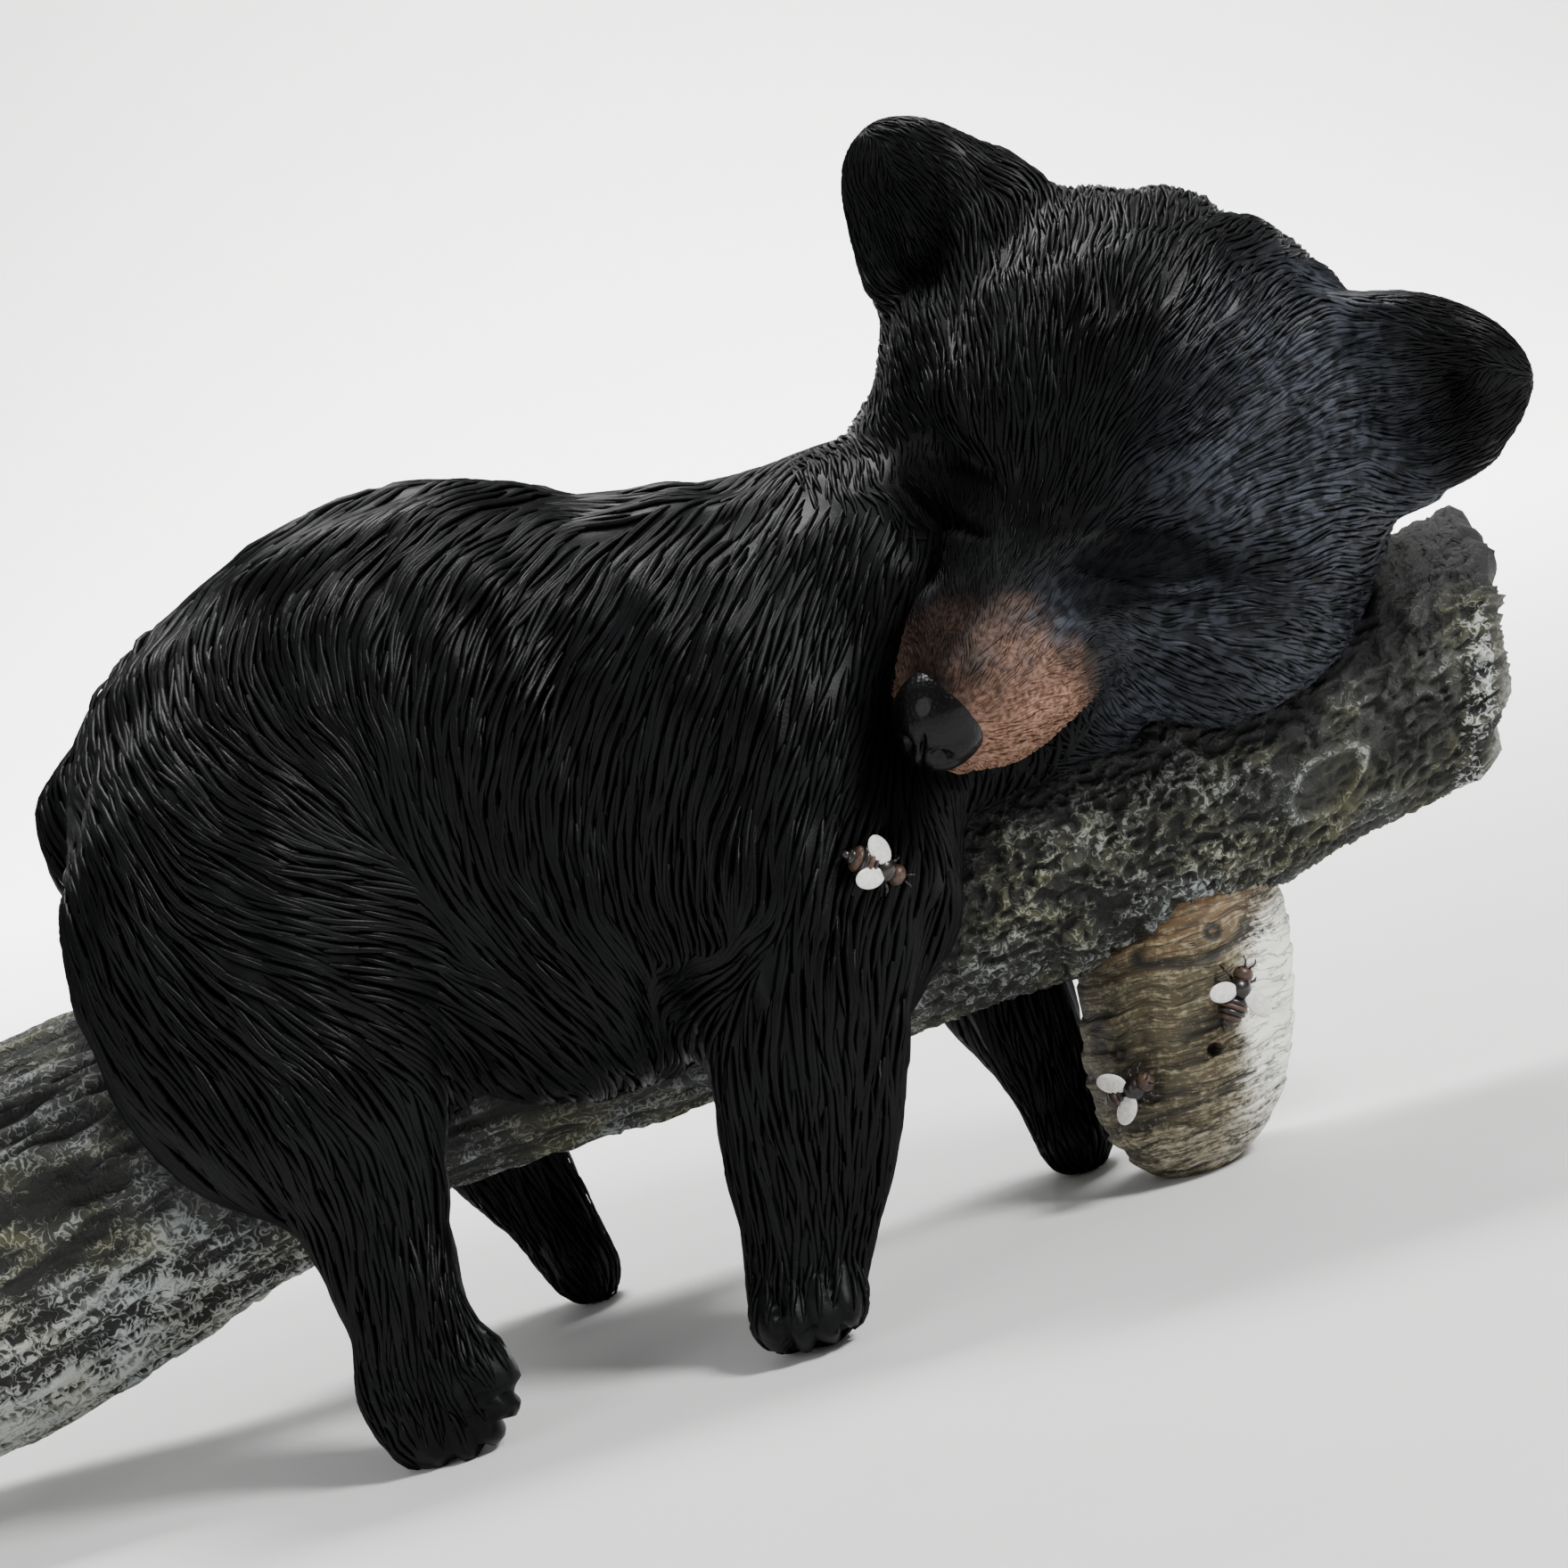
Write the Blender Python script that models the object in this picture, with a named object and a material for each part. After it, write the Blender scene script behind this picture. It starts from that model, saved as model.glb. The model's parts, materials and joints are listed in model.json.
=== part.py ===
"""Hollow-cast resin statue of a bear cub asleep over a branch, with a beehive and three bees.

Metres, +Z up. +X runs along the branch towards the cub's head, and the side that the face turns to
is at -Y. The statue stands on its four paws and on the rounded foot of the beehive, all at z = 0,
and the origin is the middle of the footprint of its box.
"""

import math

import bmesh
import bpy
import numpy as np
from mathutils import Matrix, Vector
from mathutils.bvhtree import BVHTree

MM = 0.001

# Driving sizes
BEAR_LENGTH = 277 * MM        # rump to the tip of the far ear
BRANCH_LENGTH = 305 * MM
BRANCH_THICK_BUTT = 70 * MM   # the sawn end, past the rump
BRANCH_THICK_WAIST = 53 * MM  # under the belly
BRANCH_THICK_TIP = 49 * MM    # the broken end, past the cheek
BARK_DEPTH = 2.0 * MM
HIVE_WIDTH = 39.5 * MM
HIVE_BAND = 5.5 * MM          # height of one paper band
HIVE_BAND_DEPTH = 0.7 * MM
BEE_LENGTH = 13 * MM
LOCK_LENGTH = 21 * MM         # one carved lock of fur
LOCK_WIDTH = 10 * MM
LOCK_DEPTH = 2.6 * MM
LOCK_SINK = 0.4               # share of that depth that is cut in, and not raised
LOCK_SPACING = 0.55           # from one lock to the next, as a share of a lock's length
JOINT_GAP = 0.3 * MM          # the glue line between two castings

# Fineness of the faceted solids
CASTING_GRAIN = 2.4 * MM
BEAR_TRIANGLES = 5700
BRANCH_SIDES = 28
BRANCH_RINGS = 40
ROOM_RINGS = 24
HIVE_SIDES = 22
BEE_GRAIN = BEE_LENGTH / 22
BEE_FACETS = 0.09             # share of a fused bee's faces that is kept

# The cub is a free form: its places and sizes are shares of its length, in parts of 277
BEAR_PARTS = 277
SHARE = BEAR_LENGTH / BEAR_PARTS

# The plane through the five feet, for a branch that is modelled level: its height and its upward normal
STAND_HEIGHT = 1.3 * SHARE
STAND_NORMAL = Vector((0.032, -0.053, 1.0))


def share(*numbers):
    """A place or a set of half sizes on the cub, from parts of its length."""
    return Vector(numbers) * SHARE


# Materials

def finish(name, colour, roughness, metallic=0.0):
    """A plain Principled material. The colour is linear."""
    material = bpy.data.materials.new(name)
    material.use_nodes = True
    shader = material.node_tree.nodes["Principled BSDF"]
    shader.inputs["Base Color"].default_value = (*colour, 1.0)
    shader.inputs["Roughness"].default_value = roughness
    shader.inputs["Metallic"].default_value = metallic
    return material


# Helpers that turn shapes into meshes and objects

def new_object(name, mesh, material=None):
    thing = bpy.data.objects.new(name, mesh)
    bpy.context.scene.collection.objects.link(thing)
    if material:
        mesh.materials.append(material)
    return thing


def evaluated_mesh(thing):
    """The object's mesh with its modifiers worked out, as a new mesh."""
    graph = bpy.context.evaluated_depsgraph_get()
    return bpy.data.meshes.new_from_object(thing.evaluated_get(graph))


def add_ball(bm, centre, half_sizes, turn=Matrix(), rings=14):
    """A turned ellipsoid."""
    place = Matrix.Translation(centre) @ turn.to_4x4() @ Matrix.Diagonal((*half_sizes, 1.0))
    bmesh.ops.create_uvsphere(bm, u_segments=2 * rings, v_segments=rings, radius=1.0, matrix=place)


def add_limb(bm, joints, sides=20):
    """A limb through (place, radius) joints: a ball at each, and a cone from each to the next."""
    for place, radius in joints:
        add_ball(bm, place, (radius, radius, radius), rings=10)
    for (start, thick), (end, thin) in zip(joints, joints[1:]):
        along = end - start
        turn = along.to_track_quat("Z", "Y").to_matrix().to_4x4()
        middle = Matrix.Translation((start + end) / 2) @ turn
        bmesh.ops.create_cone(bm, cap_ends=True, segments=sides, radius1=thick, radius2=thin,
                              depth=along.length, matrix=middle)


def hide_guide(thing):
    thing.hide_render = True
    thing.display_type = "WIRE"


def cut(thing, cutter, name):
    modifier = thing.modifiers.new(name, "BOOLEAN")
    modifier.operation = "DIFFERENCE"
    modifier.object = cutter


def smooth_step(low, high, value):
    """0 below low, 1 above high, and an even slope between."""
    t = np.clip((value - low) / (high - low), 0.0, 1.0)
    return t * t * (3.0 - 2.0 * t)


# Head frame: right, up and forward of the face, with the cheek laid on the branch

HEAD_CENTRE = share(86.5, -15, 122.5)
HEAD_YAW = math.radians(20.5)   # towards the rump
HEAD_PITCH = math.radians(34)   # nose down
HEAD_ROLL = math.radians(28)    # crown towards the branch's tip


def head_turn():
    """The matrix that takes (right, up, forward) of the face to x, y and z."""
    facing = Matrix(((1, 0, 0), (0, 0, -1), (0, 1, 0)))
    yaw = Matrix.Rotation(-HEAD_YAW, 3, "Z")
    pitch = Matrix.Rotation(HEAD_PITCH, 3, "X")
    roll = Matrix.Rotation(HEAD_ROLL, 3, "Y")
    return roll @ pitch @ yaw @ facing


HEAD_TURN = head_turn()


def on_head(right, up, forward):
    return HEAD_CENTRE + HEAD_TURN @ share(right, up, forward)


# Bear cub

def add_torso(bm):
    add_ball(bm, share(-69.5, -2, 99.5), share(41, 45, 49.5))               # rump
    add_ball(bm, share(-100, -3, 116), share(13, 13, 14))                   # tail
    add_ball(bm, share(-42, -2, 105), share(57, 45, 53))                    # barrel
    add_ball(bm, share(2, -4, 97), share(44, 42, 47))                       # rib cage
    for side in (-1, 1):
        add_ball(bm, share(-25, 23 * side, 78), share(46, 22, 31))          # flank, down over the branch
    add_limb(bm, [(share(16, -4, 101), 37 * SHARE), (share(58, -9, 107), 36 * SHARE)])  # neck


def add_near_legs(bm):
    add_ball(bm, share(14, -31, 84), share(27, 21, 40))                     # shoulder
    add_limb(bm, [(share(8, -36, 72), 20 * SHARE), (share(3.5, -40, 45), 17 * SHARE),
                  (share(-3, -42, 21), 12 * SHARE), (share(-8, -43, 10), 10 * SHARE)])
    add_ball(bm, share(-9, -45, 6.6), share(10.5, 12, 8.8))                   # paw
    for toe in range(4):
        add_ball(bm, share(-15 + 4.4 * toe, -54, 5), share(3.0, 4.5, 4.8))
    add_ball(bm, share(-77.5, -30, 86), share(32, 25, 44))                    # haunch
    add_limb(bm, [(share(-75, -37, 64), 22 * SHARE), (share(-71, -45, 40), 11 * SHARE),
                  (share(-70.5, -48, 24), 9.5 * SHARE)])
    add_ball(bm, share(-71, -49, 13), share(13.5, 9.5, 13.5))               # hind paw
    for toe in range(5):
        fan = math.radians(-105 + 24 * toe)
        place = share(-70 + 11.0 * math.cos(fan), -52, 13 + 9.5 * math.sin(fan))
        add_ball(bm, place, share(4.6, 6, 3.4), Matrix.Rotation(-fan, 3, "Y"))


def add_far_legs(bm):
    add_ball(bm, share(22, 25, 88), share(27, 20, 36))                      # shoulder
    add_limb(bm, [(share(33, 34, 66), 17 * SHARE), (share(42, 33, 38), 12 * SHARE),
                  (share(45, 29, 16), 8.5 * SHARE)])
    add_ball(bm, share(45, 27, 7.4), share(8, 10.5, 8))                     # paw
    add_ball(bm, share(-72, 27, 90), share(32, 22, 42))                     # haunch
    add_limb(bm, [(share(-66, 36, 60), 18 * SHARE), (share(-57, 39, 36), 10 * SHARE),
                  (share(-51, 36, 18), 8 * SHARE)])
    add_ball(bm, share(-49.5, 35, 11.8), share(7.5, 9.5, 8.8), Matrix.Rotation(math.radians(-20), 3, "Y"))


def add_head(bm):
    add_ball(bm, on_head(0, 2, -4), share(46.5, 43, 40), HEAD_TURN)         # skull
    for side in (-1, 1):
        add_ball(bm, on_head(21 * side, -13, 2), share(26, 24, 32), HEAD_TURN)   # cheek ruff
        add_ball(bm, on_head(14 * side, 13, 24), share(15, 13, 11), HEAD_TURN)   # brow
        add_ball(bm, on_head(18 * side, 3, 33.5), share(7, 3.5, 4), HEAD_TURN)   # closed eye
        add_ear(bm, side)
    add_limb(bm, [(on_head(0, -7, 27), 22 * SHARE), (on_head(0, -13, 46), 17 * SHARE),
                  (on_head(0, -15, 57), 14 * SHARE)])                       # muzzle
    add_ball(bm, on_head(0, -25, 47), share(12, 9, 17), HEAD_TURN)          # chin
    add_ball(bm, on_head(0, -11, 67), share(9, 7, 6), HEAD_TURN)            # nose pad


EAR_LEAN = math.radians(54)     # out from the crown


def ear_turn(side):
    return HEAD_TURN @ Matrix.Rotation(-EAR_LEAN * side, 3, "Z")


def add_ear(bm, side):
    """A thick ear, broad where it springs from the skull and rounded at its tip."""
    add_ball(bm, on_head(38 * side, 24, -6), share(20, 15, 12), ear_turn(side))
    add_ball(bm, on_head(46 * side, 30, -6), share(17, 14, 9.5), ear_turn(side))
    add_ball(bm, on_head(53 * side, 36, -6), share(10.5, 9.5, 7), ear_turn(side))


def fur_direction(points, normals):
    """The way the carved fur lies: back along the spine and down the sides, and away from the muzzle."""
    down = np.tile((0.25, 0.0, -1.0), (len(points), 1))
    back = np.tile((-1.0, 0.0, 0.0), (len(points), 1))
    topness = smooth_step(0.55, 0.95, normals[:, 2])[:, None]
    body = down * (1.0 - topness) + back * topness
    muzzle = np.array(on_head(0, -12, 40))
    head = points - muzzle
    head /= np.linalg.norm(head, axis=1)[:, None] + 1e-9
    reach = np.linalg.norm(points - np.array(HEAD_CENTRE), axis=1) / SHARE
    headness = (1.0 - smooth_step(48.0, 60.0, reach))[:, None]
    way = body * (1.0 - headness) + head * headness
    way -= normals * np.sum(way * normals, axis=1)[:, None]
    return way / (np.linalg.norm(way, axis=1)[:, None] + 1e-9)


def lock_seeds(points, spacing):
    """Indices of points that stand about one spacing apart, taken in the mesh's own order."""
    cells = {}
    chosen = []
    for index, cell in enumerate(np.floor(points / spacing).astype(int)):
        key = tuple(cell)
        if key not in cells:
            cells[key] = index
            chosen.append(index)
    return chosen


def carve_locks(mesh):
    """Raises tapered locks of fur, each one a ridge that swells and then runs out along the fur."""
    count = len(mesh.vertices)
    points = np.empty(count * 3)
    mesh.vertices.foreach_get("co", points)
    points = points.reshape(-1, 3)
    normals = np.empty(count * 3)
    mesh.vertices.foreach_get("normal", normals)
    normals = normals.reshape(-1, 3)
    way = fur_direction(points, normals)
    height = np.zeros(count)
    for seed in lock_seeds(points, LOCK_LENGTH * LOCK_SPACING):
        offset = points - points[seed]
        along = offset @ way[seed] / LOCK_LENGTH
        across = offset @ np.cross(normals[seed], way[seed]) / LOCK_WIDTH
        above = offset @ normals[seed] / LOCK_LENGTH
        rise = smooth_step(-0.55, 0.25, along) * (1.0 - smooth_step(0.32, 0.55, along))
        width = 1.0 - 0.55 * smooth_step(0.0, 0.55, along)
        ridge = np.clip(1.0 - (2.0 * across / width) ** 2, 0.0, 1.0)
        height = np.maximum(height, rise * ridge * (np.abs(above) < 0.4))
    face = np.linalg.norm(points - np.array(on_head(0, -12, 52)), axis=1) / SHARE
    paw = smooth_step(14.0, 30.0, points[:, 2] / SHARE)
    calm = smooth_step(26.0, 46.0, face) * paw
    points += normals * ((height - LOCK_SINK) * calm * LOCK_DEPTH)[:, None]
    mesh.vertices.foreach_set("co", points.reshape(-1))
    mesh.update()


def ear_hollow_guide(side):
    bm = bmesh.new()
    add_ball(bm, on_head(48 * side, 32, 5), share(11, 14, 8), ear_turn(side), rings=10)
    mesh = bpy.data.meshes.new("ear_hollow")
    bm.to_mesh(mesh)
    bm.free()
    guide = new_object("ear_hollow", mesh)
    hide_guide(guide)
    return guide


def bear_casting():
    """The cub before the branch is let into it: masses fused, smoothed and carved with fur."""
    bm = bmesh.new()
    add_torso(bm)
    add_near_legs(bm)
    add_far_legs(bm)
    add_head(bm)
    mesh = bpy.data.meshes.new("bear_masses")
    bm.to_mesh(mesh)
    bm.free()
    masses = new_object("bear_masses", mesh)
    fuse = masses.modifiers.new("fuse", "REMESH")
    fuse.mode = "VOXEL"
    fuse.voxel_size = CASTING_GRAIN
    soften = masses.modifiers.new("soften", "SMOOTH")
    soften.factor = 0.5
    soften.iterations = 5
    for side in (-1, 1):
        cut(masses, ear_hollow_guide(side), "ear hollow")
    again = masses.modifiers.new("fuse again", "REMESH")
    again.mode = "VOXEL"
    again.voxel_size = CASTING_GRAIN
    settle = masses.modifiers.new("settle", "SMOOTH")
    settle.factor = 0.5
    settle.iterations = 2
    casting = evaluated_mesh(masses)
    bpy.data.objects.remove(masses)
    carve_locks(casting)
    return casting


def ground_cutter():
    """A slab under the statue, which flattens the feet that it stands on."""
    bm = bmesh.new()
    side = 2 * BEAR_LENGTH
    place = Matrix.Translation((0, 0, -side / 2)) @ Matrix.Diagonal((side, side, side, 1))
    bmesh.ops.create_cube(bm, size=1.0, matrix=place)
    mesh = bpy.data.meshes.new("ground")
    bm.to_mesh(mesh)
    bm.free()
    slab = new_object("ground", mesh)
    hide_guide(slab)
    slab.matrix_world = standing().inverted()
    return slab


def standing():
    """The turn and drop that bring the plane of the feet to z = 0."""
    turn = STAND_NORMAL.rotation_difference(Vector((0, 0, 1))).to_matrix().to_4x4()
    return turn @ Matrix.Translation((0, 0, -STAND_HEIGHT))


def build_bear(black, ground, branch_room):
    mesh = bear_casting()
    bear = new_object("bear_cub", mesh, black)
    thin = bear.modifiers.new("facets", "DECIMATE")
    thin.ratio = BEAR_TRIANGLES / (2 * len(mesh.polygons))
    cut(bear, branch_room, "room for the branch")
    cut(bear, ground, "standing flats")
    for polygon in mesh.polygons:
        polygon.use_smooth = True
    return bear


# Branch

BRANCH_TIP_X = 135 * SHARE     # just past the cheek
BRANCH_BUTT_X = BRANCH_TIP_X - BRANCH_LENGTH
TIP_SLANT = 0.24               # the tip was torn off leaning over its underside
TIP_DOME = 5 * SHARE
KNOT_X = 112 * SHARE
KNOT_TURN = math.radians(-158)  # round the branch from its top
KNOT_RADIUS = 7.5 * SHARE
KNOT_RELIEF = 0.6 * BARK_DEPTH
ROOM_GROWTH = (JOINT_GAP + 0.25 * BARK_DEPTH) * 1.03  # the glue line, uneven bark and flat facets


def branch_axis(x):
    """Height and depth of the branch's centre line at x, which the cub's body sets."""
    s = x / SHARE
    height = 63.5 + 10.0 * smooth_step(60.0, 145.0, s) - 13.0 * smooth_step(-60.0, -165.0, s)
    depth = 1.5 * math.sin(s / 42.0)
    return Vector((x, depth * SHARE, float(height) * SHARE))


def branch_radius(x):
    s = x / SHARE
    butt = float(smooth_step(-45.0, -160.0, s))
    tip = float(smooth_step(20.0, 130.0, s))
    thick = BRANCH_THICK_WAIST + (BRANCH_THICK_BUTT - BRANCH_THICK_WAIST) * butt
    return (thick + (BRANCH_THICK_TIP - BRANCH_THICK_WAIST) * tip) / 2


def bark(x, ring, side):
    """Depth of the bark, 0 to 1: long furrows towards the butt, and short broken knobs towards the tip."""
    furrow = 0.9 * (side % 2) + 0.1 * math.sin(1.9 * ring + 2.3 * side)
    knobs = 0.5 + 0.5 * math.sin(2.1 * ring + 4.0 * math.sin(1.7 * side + 0.6 * ring))
    tip = float(smooth_step(5 * SHARE, 50 * SHARE, x))
    return furrow * (1.0 - tip) + knobs * tip


def knot(x, turn):
    """The ring of a lost twig, on the near side by the tip: a raised rim round a dimple."""
    across = (turn - KNOT_TURN) * branch_radius(x)
    along = x - KNOT_X
    away = math.hypot(across, along) / KNOT_RADIUS
    return 1.2 * math.exp(-((away - 0.8) / 0.35) ** 2) - 0.9 * math.exp(-(away / 0.5) ** 2)


def branch_mesh(name, growth, relief, rings, sides):
    """The branch, or the plainer room for it, as one closed tube with a slanting broken tip."""
    bm = bmesh.new()
    loops = []
    for ring in range(rings + 1):
        t = ring / rings
        x = BRANCH_BUTT_X + (BRANCH_TIP_X - BRANCH_BUTT_X) * t
        centre = branch_axis(x)
        loop = []
        for side in range(sides):
            turn = 2 * math.pi * side / sides + 0.10 * math.sin(x / (14 * SHARE)) * relief
            radius = branch_radius(x) + growth
            if relief:
                radius -= BARK_DEPTH * (1.0 - bark(x, ring, side)) - KNOT_RELIEF * knot(x, turn)
            point = centre + radius * Vector((0.0, math.sin(turn), math.cos(turn)))
            point.x += TIP_SLANT * (point.z - centre.z) * float(smooth_step(0.7, 1.0, t))
            loop.append(bm.verts.new(point))
        loops.append(loop)
    centre = branch_axis(BRANCH_TIP_X)
    for shrink, out in ((0.84, 0.6), (0.5, 1.0)):
        loop = []
        for vert in loops[rings]:
            point = centre + (vert.co - centre) * shrink
            point.x += out * TIP_DOME
            loop.append(bm.verts.new(point))
        loops.append(loop)
    for first, second in zip(loops, loops[1:]):
        for side in range(sides):
            after = (side + 1) % sides
            bm.faces.new((first[side], first[after], second[after], second[side]))
    bm.faces.new(list(reversed(loops[0])))
    bm.faces.new(loops[-1])
    bmesh.ops.recalc_face_normals(bm, faces=bm.faces)
    mesh = bpy.data.meshes.new(name)
    bm.to_mesh(mesh)
    bm.free()
    return mesh


def build_branch(wood):
    mesh = branch_mesh("branch", 0.0, True, BRANCH_RINGS, BRANCH_SIDES)
    branch = new_object("branch", mesh, wood)
    mesh.shade_smooth()
    mesh.set_sharp_from_angle(angle=math.radians(18))
    return branch


def build_branch_room():
    """What the branch takes up inside the cub and the hive, grown by the glue line."""
    mesh = branch_mesh("branch_room", ROOM_GROWTH, False, ROOM_RINGS, BRANCH_SIDES)
    room = new_object("branch_room", mesh)
    hide_guide(room)
    return room


# Beehive

HIVE_X = 67.5 * SHARE           # its middle, under the branch
HIVE_FOOT_X = HIVE_X - 4 * SHARE
HIVE_Y = 3 * SHARE
HIVE_LEAN = math.radians(-12.5)
HIVE_SINK = 1.6 * SHARE         # cut off its foot where it stands


def hive_axis(up):
    """The hive's axis, from its foot on the ground to the branch. It leans out of plumb with the cub."""
    foot = Vector((HIVE_FOOT_X, HIVE_Y, -HIVE_SINK))
    return foot + up * Vector((-math.sin(HIVE_LEAN), 0.0, math.cos(HIVE_LEAN)))


def hive_radius(t):
    """Half width of the hive at share t of its length: a blunt egg, fuller in the middle."""
    return HIVE_WIDTH / 2 * max(0.0, 1.0 - abs(2.0 * t - 0.98) ** 2.6) ** 0.5


def hive_mesh():
    length = branch_axis(HIVE_X).z / math.cos(HIVE_LEAN)
    bands = max(3, round(length / HIVE_BAND))
    rings = 2 * bands
    bm = bmesh.new()
    foot = bm.verts.new(hive_axis(0.0))
    loops = []
    for step in range(1, rings):
        t = step / rings
        band = HIVE_BAND_DEPTH * (step % 2)
        loop = []
        for side in range(HIVE_SIDES):
            turn = 2 * math.pi * side / HIVE_SIDES
            wave = 0.18 * HIVE_BAND * math.sin(2.0 * turn + step)
            radius = hive_radius(t) * (1.0 - band / (HIVE_WIDTH / 2))
            offset = Vector((radius * math.cos(turn), radius * math.sin(turn), wave * min(1.0, 4.0 * t)))
            loop.append(bm.verts.new(hive_axis(t * length) + offset))
        loops.append(loop)
    top = bm.verts.new(hive_axis(length))
    for first, second in zip(loops, loops[1:]):
        for side in range(HIVE_SIDES):
            after = (side + 1) % HIVE_SIDES
            bm.faces.new((first[side], first[after], second[after], second[side]))
    for side in range(HIVE_SIDES):
        after = (side + 1) % HIVE_SIDES
        bm.faces.new((foot, loops[0][after], loops[0][side]))
        bm.faces.new((top, loops[-1][side], loops[-1][after]))
    bmesh.ops.recalc_face_normals(bm, faces=bm.faces)
    mesh = bpy.data.meshes.new("beehive")
    bm.to_mesh(mesh)
    bm.free()
    return mesh


def build_hive(paper, ground, branch_room):
    mesh = hive_mesh()
    hive = new_object("beehive", mesh, paper)
    cut(hive, branch_room, "room for the branch")
    cut(hive, ground, "standing flat")
    mesh.shade_smooth()
    return hive


# Bees

def bee_mesh(name):
    """A bee along +X, belly down at z = 0: abdomen, thorax, head and two raised wings, fused."""
    bm = bmesh.new()
    size = BEE_LENGTH
    lift = 0.17 * size
    add_ball(bm, Vector((-0.24 * size, 0, lift)), Vector((0.26, 0.17, 0.17)) * size, rings=6)
    add_ball(bm, Vector((0.12 * size, 0, lift)), Vector((0.17, 0.16, 0.16)) * size, rings=6)
    add_ball(bm, Vector((0.37 * size, 0, lift)), Vector((0.13, 0.13, 0.12)) * size, rings=6)
    for side in (-1, 1):
        sweep = Matrix.Rotation(math.radians(-35 * side), 3, "Z")
        tilt = Matrix.Rotation(math.radians(22 * side), 3, "X")
        place = Vector((-0.02 * size, 0.27 * size * side, 1.75 * lift))
        add_ball(bm, place, Vector((0.15, 0.26, 0.05)) * size, sweep @ tilt, rings=6)
    mesh = bpy.data.meshes.new(name)
    bm.to_mesh(mesh)
    bm.free()
    return mesh


def build_bee(name, shell, carrier, aim, look, heading):
    """A bee that sits on the carrier, where a line from aim along look meets its skin."""
    graph = bpy.context.evaluated_depsgraph_get()
    tree = BVHTree.FromObject(carrier, graph)
    place, normal, _, _ = tree.ray_cast(aim, look)
    forward = (heading - normal * heading.dot(normal)).normalized()
    aside = normal.cross(forward)
    turn = Matrix((forward, aside, normal)).transposed().to_4x4()
    mesh = bee_mesh(name)
    room = BEE_LENGTH
    clearances = [room]
    for vert in mesh.vertices:
        start = place + turn.to_3x3() @ vert.co
        hit, _, _, distance = tree.ray_cast(start + normal * room, -normal, 2 * room)
        if hit:
            clearances.append(distance - room)
    bee = new_object(name, mesh, shell)
    bee.matrix_world = Matrix.Translation(place + normal * (JOINT_GAP - min(clearances))) @ turn
    fuse = bee.modifiers.new("fuse", "REMESH")
    fuse.mode = "VOXEL"
    fuse.voxel_size = BEE_GRAIN
    thin = bee.modifiers.new("facets", "DECIMATE")
    thin.ratio = BEE_FACETS
    return bee


# The statue

def stand_up(pieces):
    """Turns everything to stand on its feet, and moves the origin under the middle of the pieces."""
    for thing in bpy.data.objects:
        thing.matrix_world = standing() @ thing.matrix_world
    bpy.context.view_layer.update()
    graph = bpy.context.evaluated_depsgraph_get()
    low = Vector((math.inf, math.inf, 0.0))
    high = -low
    for piece in pieces:
        evaluated = piece.evaluated_get(graph)
        for vert in evaluated.data.vertices:
            place = evaluated.matrix_world @ vert.co
            low = Vector(map(min, low, place))
            high = Vector(map(max, high, place))
    middle = (low + high) / 2
    for thing in bpy.data.objects:
        thing.matrix_world = Matrix.Translation((-middle.x, -middle.y, 0.0)) @ thing.matrix_world


def main():
    for thing in list(bpy.data.objects):
        bpy.data.objects.remove(thing)
    black = finish("black_fur_paint", (0.006, 0.0065, 0.008), 0.42)
    wood = finish("bark_paint", (0.10, 0.09, 0.065), 0.75)
    paper = finish("hive_paper_paint", (0.33, 0.26, 0.14), 0.7)
    shell = finish("bee_paint", (0.02, 0.012, 0.008), 0.4)
    ground = ground_cutter()
    room = build_branch_room()
    bear = build_bear(black, ground, room)
    branch = build_branch(wood)
    hive = build_hive(paper, ground, room)
    bpy.context.view_layer.update()
    towards = Vector((0, 1, 0))
    bees = [
        build_bee("bee_on_foreleg", shell, bear, share(23.5, -150, 71.5), towards, Vector((0.8, 0, -0.6))),
        build_bee("bee_high_on_hive", shell, hive, share(76, -150, 30), towards, Vector((0.6, 0, 0.8))),
        build_bee("bee_low_on_hive", shell, hive, share(56, -150, 17), towards, Vector((0.9, 0, 0.2))),
    ]
    stand_up([bear, branch, hive, *bees])


main()
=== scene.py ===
# %% [markdown]
# # A resin bear cub asleep over a branch
# The real thing is a hollow casting in resin, painted by hand: a black bear cub that sleeps with its
# cheek on a branch, a paper beehive under the branch, and three bees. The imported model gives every
# piece its place. This script dresses it: fur that is combed over the cub, bark, paper and paint.
# All sizes are in metres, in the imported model's own frame.

# %% The frame
import json
import math
from functools import partial

import bmesh
import bpy
import numpy as np
from mathutils import Matrix, Vector
from mathutils.bvhtree import BVHTree

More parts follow.
